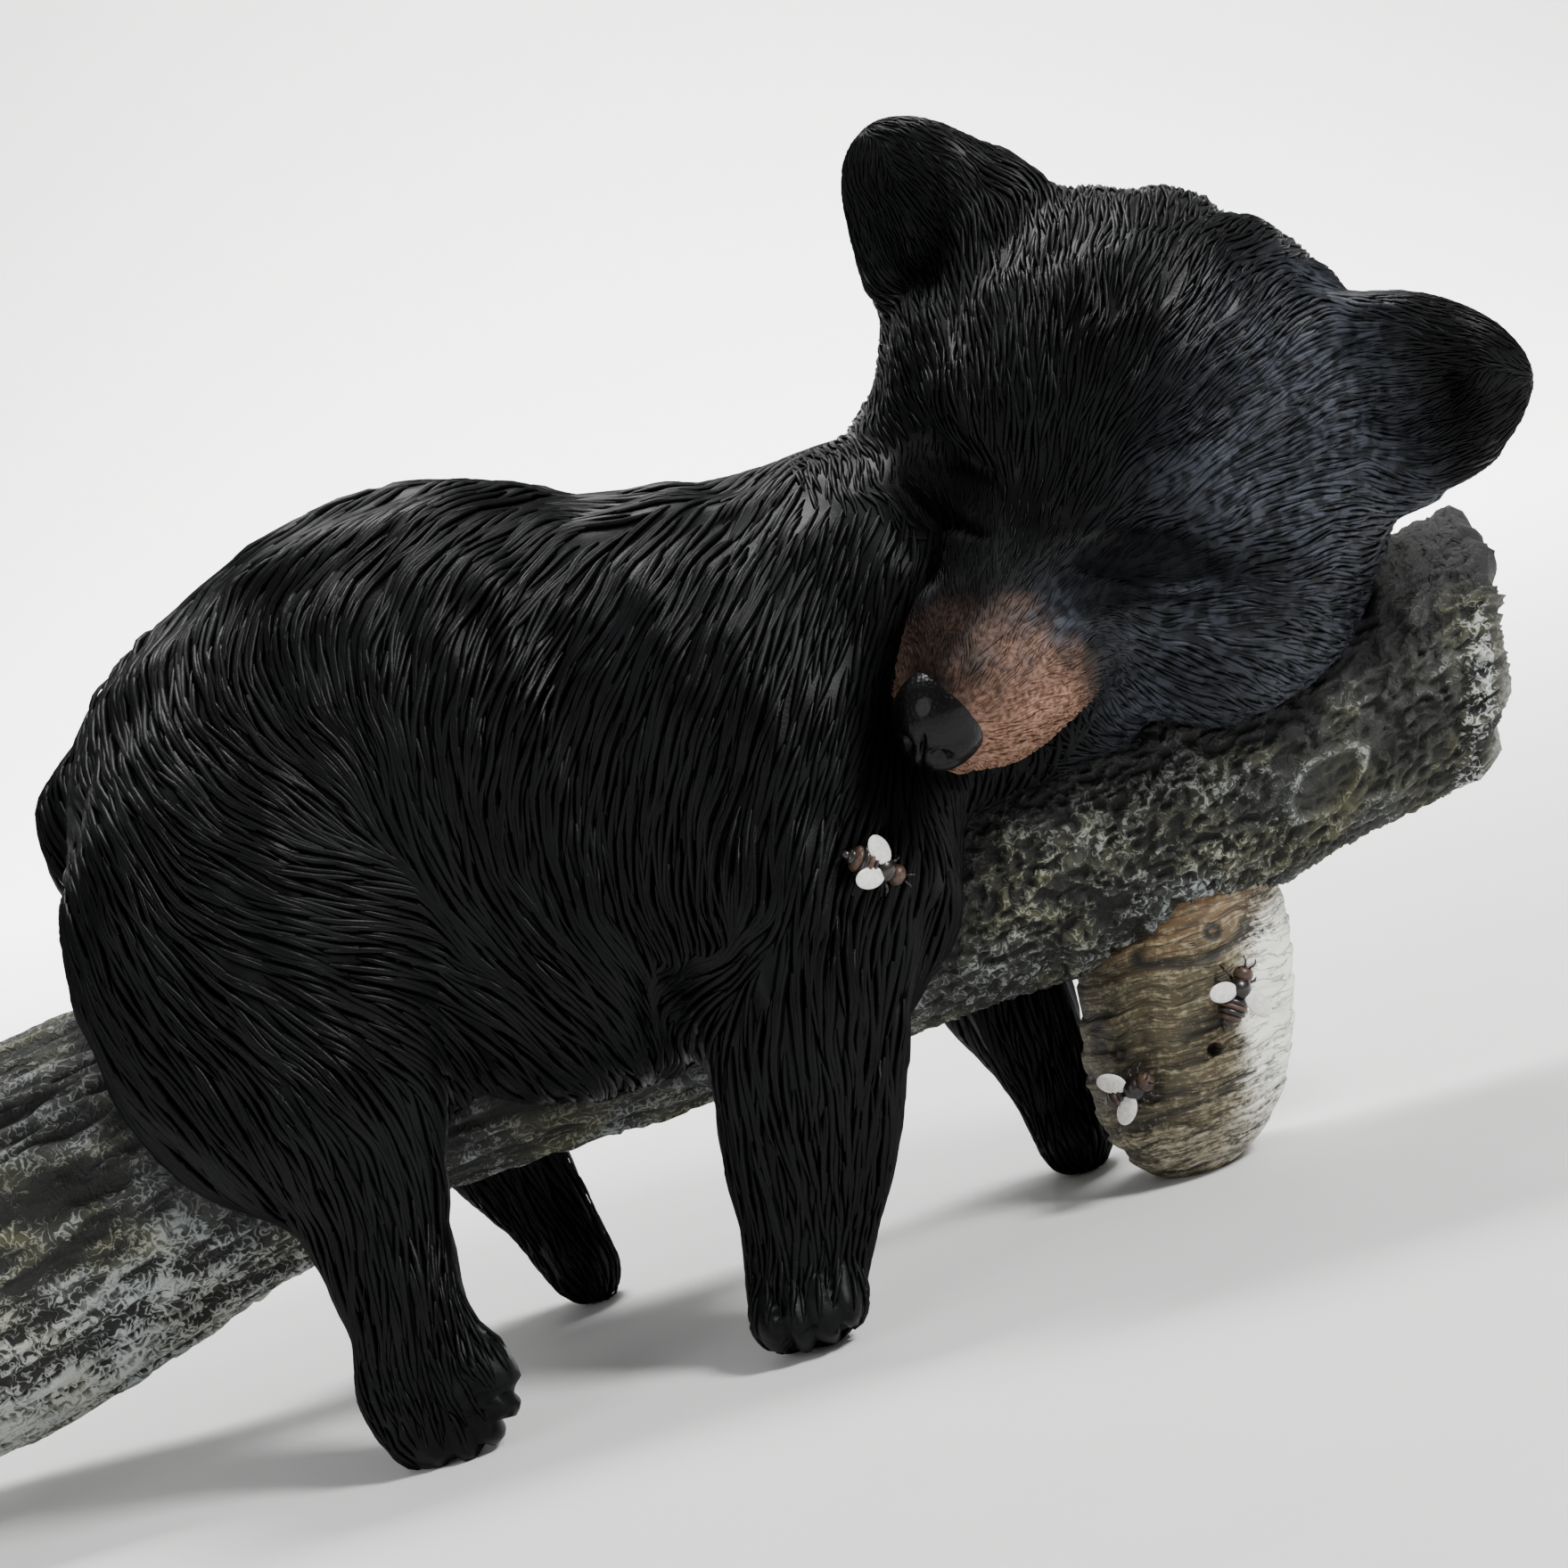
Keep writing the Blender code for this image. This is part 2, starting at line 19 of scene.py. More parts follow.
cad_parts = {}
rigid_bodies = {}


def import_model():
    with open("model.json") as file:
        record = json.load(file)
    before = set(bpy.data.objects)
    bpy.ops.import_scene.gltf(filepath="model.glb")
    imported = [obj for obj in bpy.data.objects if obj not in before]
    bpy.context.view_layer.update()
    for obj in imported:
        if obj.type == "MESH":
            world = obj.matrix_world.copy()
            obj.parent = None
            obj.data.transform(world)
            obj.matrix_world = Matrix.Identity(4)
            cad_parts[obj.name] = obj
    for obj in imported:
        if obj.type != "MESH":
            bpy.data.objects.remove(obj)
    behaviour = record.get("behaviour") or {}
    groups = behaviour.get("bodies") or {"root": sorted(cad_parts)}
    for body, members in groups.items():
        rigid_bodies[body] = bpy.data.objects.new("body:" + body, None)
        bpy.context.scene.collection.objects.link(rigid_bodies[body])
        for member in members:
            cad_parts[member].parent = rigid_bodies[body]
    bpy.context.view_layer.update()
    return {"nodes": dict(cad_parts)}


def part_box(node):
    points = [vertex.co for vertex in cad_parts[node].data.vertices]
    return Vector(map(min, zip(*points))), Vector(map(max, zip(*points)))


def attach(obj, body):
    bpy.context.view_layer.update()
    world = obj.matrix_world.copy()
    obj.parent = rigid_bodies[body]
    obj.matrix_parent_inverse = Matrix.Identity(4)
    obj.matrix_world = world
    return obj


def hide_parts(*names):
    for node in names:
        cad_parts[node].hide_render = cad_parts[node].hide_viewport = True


for thing in list(bpy.data.objects):
    bpy.data.objects.remove(thing)
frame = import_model()
MM = 0.001

# %% [markdown]
# ## The camera
# The photograph was taken from the front, a little above, with the camera turned about its own axis,
# so that the branch climbs to the right. The distance and the lens were worked out from the places
# of the feet and the head. The same numbers turn a pixel of the photograph into a ray, which is how
# the strokes of the comb and the marks of the hive find their places further down.

# %% The camera
PHOTO_SIDE = 1759
VIEW_TARGET = Vector((23.516, 6.689, 85.983)) * MM
AZIMUTH, ELEVATION, ROLL = (math.radians(angle) for angle in (-0.11, 5.03, 16.16))
VIEW_DISTANCE = 620 * MM
PIXEL_AT_TARGET = 0.157 * MM
SENSOR = 36.0


def camera_axes():
    """Right, up and back of the photograph's camera."""
    back = Vector((math.sin(AZIMUTH) * math.cos(ELEVATION), -math.cos(AZIMUTH) * math.cos(ELEVATION),
                   math.sin(ELEVATION)))
    level = Vector((math.cos(AZIMUTH), math.sin(AZIMUTH), 0.0))
    plumb = back.cross(level)
    right = level * math.cos(ROLL) - plumb * math.sin(ROLL)
    up = level * math.sin(ROLL) + plumb * math.cos(ROLL)
    return right, up, back


RIGHT, UP, BACK = camera_axes()
EYE = VIEW_TARGET + BACK * VIEW_DISTANCE
FOCAL_PIXELS = VIEW_DISTANCE / PIXEL_AT_TARGET


def photo_ray(x, y):
    """The direction from the camera through a pixel of the photograph."""
    across, down = x - PHOTO_SIDE / 2, y - PHOTO_SIDE / 2
    return (-BACK * FOCAL_PIXELS + RIGHT * across - UP * down).normalized()


lens = bpy.data.cameras.new("photo_camera")
lens.sensor_width = SENSOR
lens.lens = SENSOR * FOCAL_PIXELS / PHOTO_SIDE
camera = bpy.data.objects.new("photo_camera", lens)
bpy.context.scene.collection.objects.link(camera)
camera.matrix_world = Matrix((RIGHT, UP, BACK)).transposed().to_4x4()
camera.location = EYE
bpy.context.scene.camera = camera
print("lens in mm:", round(lens.lens, 2))

# %% [markdown]
# ## Helpers
# Meshes are moved about as arrays of points, because a sculpted surface has tens of thousands of
# them. The noise is our own, on a fixed lattice, so each run gives the same lumps.

# %% Arrays and noise
PRIMES = np.array((73856093, 19349663, 83492791), dtype=np.int64)


def points_of(mesh, what="co"):
    values = np.empty(len(mesh.vertices) * 3)
    mesh.vertices.foreach_get(what, values)
    return values.reshape(-1, 3)


def set_points(mesh, points):
    mesh.vertices.foreach_set("co", points.reshape(-1))
    mesh.update()


def store(mesh, name, values):
    """Keeps a number or a vector for each point of the mesh."""
    kind, key = ("FLOAT", "value") if values.ndim == 1 else ("FLOAT_VECTOR", "vector")
    layer = mesh.attributes.new(name, kind, "POINT")
    layer.data.foreach_set(key, np.ascontiguousarray(values, dtype=np.float32).reshape(-1))


def step(low, high, value):
    """0 below low, 1 above high, and a smooth slope between."""
    t = np.clip((value - low) / (high - low), 0.0, 1.0)
    return t * t * (3.0 - 2.0 * t)


def bell(value, middle, width, power=2):
    """1 at the middle, fading on both sides over the width."""
    return np.exp(-((value - middle) / width) ** power)


def lumps(points, size, seed=0):
    """Smooth noise from -1 to 1, with lumps about one size across."""
    place = points / size
    base = np.floor(place).astype(np.int64)
    part = place - base
    part = part * part * (3.0 - 2.0 * part)
    total = np.zeros(len(points))
    for corner in range(8):
        offset = np.array((corner & 1, corner >> 1 & 1, corner >> 2))
        weight = np.prod(np.where(offset, part, 1.0 - part), axis=1)
        mixed = ((base + offset) * PRIMES).sum(axis=1) + seed * 7919
        mixed = (mixed ^ (mixed >> 13)) * 1274126177
        total += weight * ((mixed >> 8 & 0xFFFF) / 32767.5 - 1.0)
    return total


def tangent(vectors, normals):
    """The vectors laid flat on the surface, each of length 1."""
    flat = vectors - normals * np.sum(vectors * normals, axis=1)[:, None]
    return flat / (np.linalg.norm(flat, axis=1)[:, None] + 1e-12)


def tree_of(mesh):
    """The mesh's faces, sorted by place for quick rays and nearest points."""
    points = [vert.co for vert in mesh.vertices]
    return BVHTree.FromPolygons(points, [tuple(face.vertices) for face in mesh.polygons])


# %% Objects and nodes
FAMILIES = ("ShaderNode", "GeometryNode", "FunctionNode", "")


def new_object(name, mesh, *materials):
    thing = bpy.data.objects.new(name, mesh)
    bpy.context.scene.collection.objects.link(thing)
    for material in materials:
        mesh.materials.append(material)
    return thing


def mesh_from(bm, name):
    mesh = bpy.data.meshes.new(name)
    bm.to_mesh(mesh)
    bm.free()
    mesh.shade_smooth()
    return mesh


def settled(thing):
    """The object's mesh with its modifiers worked out. The object itself is removed."""
    graph = bpy.context.evaluated_depsgraph_get()
    mesh = bpy.data.meshes.new_from_object(thing.evaluated_get(graph))
    bpy.data.objects.remove(thing)
    return mesh


def hand_over(piece, slot, *nodes):
    """The piece rides on the one rigid body and stands for its CAD nodes, which are hidden. The slot
    is not used.
    """
    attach(piece, "root")
    if nodes:
        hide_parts(*nodes)
    piece.data.calc_loop_triangles()
    print(piece.name, len(piece.data.loop_triangles), "triangles")


def linear(code):
    """A hex sRGB colour as linear red, green, blue and alpha."""
    channels = [int(code[i:i + 2], 16) / 255 for i in (0, 2, 4)]
    return (*[c / 12.92 if c <= 0.04045 else ((c + 0.055) / 1.055) ** 2.4 for c in channels], 1.0)


def feed(node, *values, **named):
    """Gives a node its inputs, in their order or by name with _ for a space. A socket is linked,
    and a hex colour is turned to linear light."""
    live = [socket for socket in node.inputs if socket.enabled]
    chosen = [node.inputs[name.replace("_", " ")] for name in named]
    for socket, value in (*zip(live, values), *zip(chosen, named.values())):
        if isinstance(value, bpy.types.NodeSocket):
            node.id_data.links.new(value, socket)
        else:
            socket.default_value = linear(value) if socket.type == "RGBA" else value


def add_node(tree, kind, *values, out=None, **settings):
    """One node, and its first live output or the one that out names. The kind is the node's type
    without its family, and a second word is its operation or data type. Values feed its inputs in
    order, a name with a capital feeds that input, and other names are the node's own settings."""
    kind, *mode = kind.split()
    known = next(family + kind for family in FAMILIES if hasattr(bpy.types, family + kind))
    node = tree.nodes.new(known)
    if mode:
        setattr(node, "operation" if hasattr(node, "operation") else "data_type", mode[0])
    for name in [name for name in settings if name.islower()]:
        setattr(node, name, settings.pop(name))
    feed(node, *values, **settings)
    return node.outputs[out] if out else next(socket for socket in node.outputs if socket.enabled)


# %% [markdown]
# ## Paint
# Everything here is acrylic paint over cast resin. The fur is satin black, the bark and the hive are
# matt with a paler colour dry-brushed over their ridges, and the bees and the nose are glossy. The
# colours are written as sRGB, as a paint chart gives them, and turned to linear light by one
# function. Each paint's relief is a bump of a fraction of a millimetre over the modelled shape.

# %% A paint's start and finish
def new_paint(name):
    """An empty material, what adds a node to it, and the object's own coordinates."""
    material = bpy.data.materials.new(name)
    material.use_nodes = True
    add = partial(add_node, material.node_tree)
    return material, add, add("TexCoord", out="Object")


def finish_paint(material, colour, roughness, relief=None, strength=1.0, depth=0.0, **more):
    """Joins colour, roughness and a relief of some millimetres to the material's shader."""
    tree = material.node_tree
    if relief is not None:
        more["Normal"] = add_node(tree, "Bump", Height=relief, Strength=strength,
                                  Distance=depth * MM)
    feed(tree.nodes["Principled BSDF"], Base_Color=colour, Roughness=roughness, **more)
    return material


# %% [markdown]
# ## Where the head is
# The cub's head is turned, tipped forward and laid on its cheek, so its features are easier to place
# in a frame of its own: right, up and forward of the face, in millimetres from the middle of the
# skull. The angles are the ones that the CAD source was modelled with.

# %% The head's frame
STAND = Vector((0.032, -0.053, 1.0)).rotation_difference(Vector((0, 0, 1))).to_matrix()
STAND_SHIFT = Vector((12.302, 2.075, -1.298)) * MM
HEAD_YAW, HEAD_PITCH, HEAD_ROLL = (math.radians(angle) for angle in (20.5, 34.0, 28.0))


def to_frame(place):
    """A place in the CAD source's level frame, in millimetres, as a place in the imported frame."""
    return STAND @ (Vector(place) * MM) + STAND_SHIFT


def framed(points):
    """The same for an array of places in millimetres."""
    return points * MM @ np.array(STAND).T + np.array(STAND_SHIFT)


def level_places(points):
    """The way back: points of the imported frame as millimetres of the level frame."""
    return (points - np.array(STAND_SHIFT)) @ np.array(STAND) / MM


FACING = Matrix(((1, 0, 0), (0, 0, -1), (0, 1, 0)))
HEAD_TURN = STAND @ Matrix.Rotation(HEAD_ROLL, 3, "Y") @ Matrix.Rotation(HEAD_PITCH, 3, "X") \
    @ Matrix.Rotation(-HEAD_YAW, 3, "Z") @ FACING
HEAD_CENTRE = to_frame((86.5, -15, 122.5))


def on_head(right, up, forward):
    return HEAD_CENTRE + HEAD_TURN @ (Vector((right, up, forward)) * MM)


def head_places(points):
    """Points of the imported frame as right, up and forward of the face, in millimetres."""
    return (points - np.array(HEAD_CENTRE)) @ np.array(HEAD_TURN) / MM


# %% [markdown]
# ## The cub's skin
# The casting's surface under the fur starts from the CAD solid, so the pose and the outline stay as
# they are. Its facets are rounded with a subdivision, remeshed into even small squares and smoothed.
# The face gets squares half that size, because the closed eyes and the mouth are the finest forms.

# %% A finer skin from the solid
SKIN_GRAIN = 1.36 * MM
FACE_REACH = 36.0 * MM          # round a point between the eyes and the nose


def rounded_skin():
    """The CAD solid as one closed skin, not as loose triangles, rounded and with even squares."""
    bm = bmesh.new()
    bm.from_mesh(frame["nodes"]["bear_cub"].data)
    bmesh.ops.remove_doubles(bm, verts=bm.verts, dist=0.001 * MM)
    blank = new_object("skin_blank", mesh_from(bm, "skin_blank"))
    rounding = blank.modifiers.new("round the facets", "SUBSURF")
    rounding.levels = rounding.render_levels = 1
    even = blank.modifiers.new("even squares", "REMESH")
    even.mode, even.voxel_size = "VOXEL", SKIN_GRAIN
    soft = blank.modifiers.new("soften", "SMOOTH")
    soft.factor, soft.iterations = 0.5, 3
    return settled(blank)


def refine_face(mesh):
    bm = bmesh.new()
    bm.from_mesh(mesh)
    middle = on_head(0, -4, 40)
    near = [edge for edge in bm.edges
            if max((vert.co - middle).length for vert in edge.verts) < FACE_REACH]
    bmesh.ops.subdivide_edges(bm, edges=near, cuts=1, use_grid_fill=True)
    return mesh_from(bm, "cub_skin")


skin_mesh = refine_face(rounded_skin())
print("skin:", len(skin_mesh.vertices), "points")

# %% [markdown]
# ## The face and the paws
# The cub sleeps, so each eye is a soft mound under the brow with one dark crease that runs down
# towards the cheek. The muzzle has a mouth line under the nose, and the near paws have seams between
# their toes. Carving moves points along the skin's own normals, by amounts that depend on where they
# are on the head. Where the muzzle meets the arm, a seam keeps the two apart. It is found from the
# distances to the round masses that the CAD source is built of, which are repeated here.

# %% Distances to the cub's masses
MUZZLE_LIMBS = (((0, -7, 27), 22, (0, -13, 46), 17), ((0, -13, 46), 17, (0, -15, 57), 14))
CHIN = ((0, -25, 47), (12, 9, 17))
ARM_BALL, ARM_LIMB = ((14, -31, 84), (27, 21, 40)), ((8, -36, 72), 20, (3.5, -40, 45), 17)
CHEST_BALL, NECK_LIMB = ((2, -4, 97), (44, 42, 47)), ((16, -4, 101), 37, (58, -9, 107), 36)
HIND_TOES = [((-70 + 11.0 * math.cos(fan), -52, 13 + 9.5 * math.sin(fan)), (4.4, 6, 4.4))
             for fan in np.radians(-105 + 24 * np.arange(5))]
FORE_TOES = [((-15 + 4.4 * toe, -54, 5), (3.2, 4.5, 4.8)) for toe in range(4)]


def ball_gap(points, centre, half):
    """Distance from points to an ellipsoid, roughly, in millimetres."""
    off = points - centre
    share = np.linalg.norm(off / half, axis=1) + 1e-6
    return share * (share - 1.0) / (np.linalg.norm(off / np.square(half), axis=1) + 1e-6)


def limb_gap(points, start, thick, end, thin):
    """Distance from points to a tapered limb with round ends, in millimetres."""
    along = np.array(end, float) - start
    share = np.clip((points - start) @ along / (along @ along), 0.0, 1.0)
    off = np.linalg.norm(points - start - share[:, None] * along, axis=1)
    return off - thick - share * (thin - thick)


def muzzle_and_arm(points):
    """Distances from points to the muzzle's masses and to those of the near arm and chest."""
    head, level = head_places(points), level_places(points)
    muzzle = np.minimum(*(limb_gap(head, *limb) for limb in MUZZLE_LIMBS))
    muzzle = np.minimum(muzzle, ball_gap(head, *CHIN))
    arm = np.minimum(ball_gap(level, *ARM_BALL), limb_gap(level, *ARM_LIMB))
    chest = np.minimum(ball_gap(level, *CHEST_BALL), limb_gap(level, *NECK_LIMB))
    return muzzle, np.minimum(arm, chest)


def toe_gaps(points):
    """Distances from points to the nearest toe of a near paw, and to the one after it."""
    level = level_places(points)
    return np.sort([ball_gap(level, *toe) for toe in HIND_TOES + FORE_TOES], axis=0)[:2]


# %% Carving the face
EYE_PLACE, EYE_HALF = (17.8, 3.2), (9.5, 4.6)           # right and up of the face
CREASE_DEPTH, MOUTH_DEPTH, GROOVE_DEPTH = 1.5, 1.5, 1.0
FACE_DEPTH = 14.0               # what lies further back than this is no part of the face


def eye_places(head, side):
    """Places along and across the crease of one closed eye, in half lengths of the eye."""
    x = (head[:, 0] * side - EYE_PLACE[0]) / EYE_HALF[0]
    return x, (head[:, 1] - EYE_PLACE[1]) / EYE_HALF[1]


def crease_of(x, y):
    """How near a point is to the crease, 1 on it: the crease sags between the corners of the eye."""
    sag = 0.35 * (x * x - 1.0) - 0.25 * x
    width = 0.22 * (1.0 - 0.5 * np.clip(np.abs(x), 0.0, 1.0))
    return bell(y, sag, width) * step(1.25, 0.8, np.abs(x))


def carve_face(mesh):
    points, normals = points_of(mesh), points_of(mesh, "normal")
    head = head_places(points)
    across, up, forward = head.T
    front = step(FACE_DEPTH, 24.0, forward)
    muzzle, arm = muzzle_and_arm(points)
    seam = bell(muzzle - arm, 0, 2.6) * step(36.0, 44.0, forward) * step(9.0, 5.0, muzzle)
    move = -seam * (1.6 + 0.75 * np.clip(muzzle, 0.0, 4.0))
    first, second = toe_gaps(points)
    move += step(4.0, 1.5, first) * (0.8 - 2.2 * bell(second - first, 0, 1.1))
    for side in (-1, 1):
        x, y = eye_places(head, side)
        away = np.hypot(x, y)
        move += front * (1.3 * bell(away, 0, 0.8) - 1.5 * bell(away, 1.55, 0.5))
        move -= front * CREASE_DEPTH * crease_of(x, y)
    mouth = bell(up, -20.5 + 0.012 * across ** 2, 0.9) * step(30.0, 44.0, forward) \
        * step(17.0, 12.0, np.abs(across))
    groove = bell(across, 0, 0.7) * step(-22.0, -19.0, up) * step(-14.0, -16.0, up) \
        * step(52.0, 58.0, forward)
    move -= MOUTH_DEPTH * mouth + GROOVE_DEPTH * groove
    points += normals * (move * MM)[:, None]
    set_points(mesh, points)


carve_face(skin_mesh)
skin_points, skin_normals = points_of(skin_mesh), points_of(skin_mesh, "normal")
skin_head = head_places(skin_points)
skin_tree = tree_of(skin_mesh)
to_muzzle, to_arm = muzzle_and_arm(skin_points)

# %% [markdown]
# ## Combing
# The fur is what makes this casting. It doesn't lie at random: it runs back from the spine, sweeps
# round the haunch, falls down the legs, and spreads over the head from the muzzle. So the cub is
# combed first. Each stroke is a line of pixels of the photograph, and every two of its points,
# thrown onto the skin, give a direction there. The side that the photograph doesn't show gets the
# same strokes mirrored, and what no stroke reaches is combed by a simple rule. The head and the body
# are combed apart, so that the ruff lies over the shoulder where they meet, as it does on the real
# casting.

# %% The comb's strokes: across and down for each point of a stroke
COMB_STROKES = {
    "rump": (
        (735,560, 640,575, 560,610, 500,660),
        (560,555, 470,590, 410,650, 380,720, 395,790, 430,850),
        (430,570, 350,610, 300,670, 290,740, 320,810, 390,870),
        (330,600, 250,660, 215,730, 225,800, 280,860, 360,910),
        (230,660, 160,730, 140,800, 165,870, 230,930, 320,970),
        (140,760, 90,830, 80,900, 100,980, 130,1060),
        (50,880, 40,940, 60,1010, 95,1080),
    ),
    "haunch": (
        (150,870, 200,940, 290,985, 390,1000, 470,1010),
        (140,930, 180,1010, 260,1060, 350,1085, 440,1110, 510,1160),
        (130,980, 165,1060, 220,1130, 290,1180, 350,1220, 410,1290),
        (120,1060, 150,1130, 195,1190, 230,1240),
        (230,1110, 300,1190, 350,1270, 380,1340),
        (330,1090, 410,1130, 480,1180, 520,1240),
        (250,1040, 330,1060, 430,1070, 500,1090, 560,1120),
    ),
    "barrel": (
        (450,860, 470,930, 510,1010, 570,1080, 620,1130),
        (500,640, 460,720, 450,800, 460,870),
        (570,640, 520,720, 495,810, 500,900, 530,990, 590,1070),
        (650,640, 590,720, 550,810, 535,900, 550,980, 600,1050, 660,1110),
        (720,620, 660,710, 610,800, 580,890, 585,970, 620,1040, 680,1100),
        (780,600, 720,690, 670,780, 640,870, 635,950, 655,1030, 700,1090),
        (840,580, 780,660, 730,750, 695,850, 680,940, 690,1020, 730,1090),
        (890,560, 830,650, 785,740, 750,840, 730,930, 735,1010, 765,1080),
        (930,540, 880,640, 840,740, 810,840, 785,930, 785,1010, 810,1070),
        (880,1040, 830,1070, 780,1090, 730,1110),
    ),
    "chest": (
        (960,560, 930,650, 900,740, 870,840, 850,930, 845,1020),
        (960,700, 940,780, 915,860, 895,940, 885,1020, 880,1100, 890,1180),
        (985,870, 960,930, 935,1000, 925,1070, 930,1150, 945,1220),
        (1010,870, 1010,930, 1000,1000, 985,1060, 980,1130),
        (1035,880, 1060,940, 1080,1000, 1085,1050),
        (1060,880, 1100,930, 1130,980),
        (1100,900, 1150,930, 1180,960),
    ),
    "legs": (
        (870,1100, 860,1180, 870,1260, 890,1340, 900,1420),
        (930,1100, 930,1200, 930,1300, 930,1400, 920,1470),
        (1000,1080, 985,1150, 975,1230, 970,1330, 960,1430),
        (410,1290, 430,1360, 440,1440, 450,1520, 470,1590),
        (470,1230, 490,1300, 495,1380, 500,1450, 520,1520, 560,1580),
        (350,1290, 380,1370, 395,1450, 410,1530, 440,1600),
        (1150,1150, 1170,1230, 1200,1310),
        (600,1330, 630,1380, 655,1430),
    ),
    "brow": (
        (1110,600, 1115,500, 1105,400, 1090,300, 1080,240),
        (1160,560, 1175,460, 1175,360, 1165,270, 1155,215),
        (1190,560, 1215,460, 1235,360, 1245,270, 1245,215),
        (1215,540, 1255,450, 1295,360, 1330,280, 1345,220),
        (1230,500, 1290,430, 1350,360, 1410,290, 1450,260),
        (1250,520, 1320,470, 1390,410, 1450,350, 1500,310),
        (1060,540, 1050,450, 1030,370, 1010,300),
        (1010,560, 1000,480, 995,400),
        (990,620, 975,560, 970,510),
    ),
    "cheek": (
        (1290,560, 1360,510, 1430,460, 1490,430, 1530,420),
        (1330,600, 1400,560, 1470,530, 1530,520, 1555,530),
        (1340,640, 1410,620, 1480,600, 1540,600),
        (1300,680, 1370,680, 1440,690, 1500,710),
        (1250,690, 1310,720, 1380,750, 1440,780),
        (1220,740, 1270,780, 1330,820, 1380,840),
        (1205,800, 1240,830, 1280,850),
    ),
    "muzzle": (
        (1080,760, 1080,700, 1085,640, 1100,590),
        (1100,770, 1130,730, 1160,690, 1190,650),
        (1110,800, 1160,780, 1210,770),
        (1110,840, 1150,850, 1190,850),
        (1090,870, 1120,885),
        (1030,740, 1020,700, 1020,650),
    ),
    "ears": (
        (1480,330, 1560,345, 1640,370, 1700,400),
        (1580,490, 1630,475, 1690,450),
        (1080,240, 1040,190, 1000,150),
        (1000,290, 975,220, 975,160),
    ),
}
HEAD_STROKES = ("brow", "cheek", "muzzle", "ears")
LONGEST_GUIDE = 42 * MM         # a longer one has jumped from one form to another behind it
MIRRORED_SAY = 0.15             # the weight of a mirrored guide
COMB_REACH = 9 * MM


def comb_guides():
    """Rows of place, direction, weight and whether it is on the head, from two neighbouring points
    of a stroke that both hit the skin."""
    guides = []
    for region, strokes in COMB_STROKES.items():
        for stroke in strokes:
            hits = [skin_tree.ray_cast(EYE, photo_ray(*pixel))[0]
                    for pixel in zip(stroke[::2], stroke[1::2])]
            for start, end in zip(hits, hits[1:]):
                if start and end and (end - start).length < LONGEST_GUIDE:
                    way = (end - start).normalized()
                    guides.append((*((start + end) / 2), *way, 1.0, region in HEAD_STROKES))
    return np.array(guides)


def mirrored(guides):
    """The same guides on the side that the photograph doesn't show, with less say."""
    other = guides.copy()
    head = other[:, 7] > 0.5
    turn, centre = np.array(HEAD_TURN), np.array(HEAD_CENTRE)
    flip = turn @ np.diag((-1.0, 1.0, 1.0)) @ turn.T
    other[head, :3] = (other[head, :3] - centre) @ flip + centre
    other[head, 3:6] = other[head, 3:6] @ flip
    other[~head, 1] *= -1.0
    other[~head, 4] *= -1.0
    other[:, 6] = MIRRORED_SAY
    return other


def body_rule(normals):
    """Back along the spine and down the sides."""
    top = step(0.6, 0.97, normals[:, 2])[:, None]
    return np.array((-0.15, 0.0, -1.0)) * (1.0 - top) + np.array((-1.0, 0.0, 0.0)) * top


def head_rule(points):
    """Outwards from the muzzle."""
    way = points - np.array(on_head(0, -12, 44))
    return way / np.linalg.norm(way, axis=1)[:, None]


def combed(points, normals, guides, rule):
    """The fur's direction at each point, from the guides round it, or else from the rule."""
    way = np.zeros_like(points)
    spots = [skin_tree.find_nearest(Vector(guide[:3])) for guide in guides]
    places, facing = (np.array([spot[part] for spot in spots]) for part in (0, 1))
    for low in range(0, len(points), 4000):
        part = slice(low, low + 4000)
        apart = np.linalg.norm(points[part, None] - places[None], axis=2) / COMB_REACH
        agree = np.clip(normals[part] @ facing.T, 0.0, 1.0) ** 2 + 0.01
        say = guides[None, :, 6] * agree / (apart ** 2 + 0.05) ** 2
        way[part] = say @ guides[:, 3:6]
    return tangent(way + 0.02 * tangent(rule, normals), normals)


guides = comb_guides()
guides = np.concatenate((guides, mirrored(guides)))
of_head = guides[:, 7] > 0.5
combs = {"comb_body": combed(skin_points, skin_normals, guides[~of_head], body_rule(skin_normals)),
         "comb_head": combed(skin_points, skin_normals, guides[of_head], head_rule(skin_points))}
print("comb guides:", len(guides))

# %% [markdown]
# ## Which fur grows where
# The strokes of the sculptor's tool are long and broad on the back, shorter on the legs, fine on the
# head, and only a few millimetres long on the muzzle and the ears. Each kind of coat has its own map
# on the skin, from 0 to 1, and one more map shortens the hairs towards the paws and the eyes. Where
# the head lies over the shoulder or the arm, the body's coat runs on a little way under the ruff,
# and a band below the head has the legs' shorter and denser coat, so the fold shows no bare skin.

# %% Coat maps
HEAD_EDGE = 55.0                # the ruff's edge, from the middle of the skull
EAR_PLACE, EAR_HALF = (49, 33, -5), (21, 21, 15)
SNOUT_PLACE, SNOUT_HALF = (0, -16, 50), (21, 26, 26)
NOSE_PLACE, NOSE_HALF = np.array((-2.0, -16.9, 67.6)), np.array((7.9, 9.2, 7.0))
MUZZLE_PLACE, MUZZLE_HALF = (1.0, -24.0, 56.0), (19.0, 23.0, 19.0)     # of the brown paint
LASH, TUFT = (0.6, -0.55), (9.5, -1.0)
RUFF_OVERLAP, NECK_BAND = 4.0, 12.0
HEAD_FOOT, LEG_TOP, LEG_WAVER = 0.06, 0.036, 0.006      # heights in metres
PAW_TOP, LEG_FULL, BODY_FULL = 8 * MM, 30 * MM, 62 * MM  # where hairs reach their full length
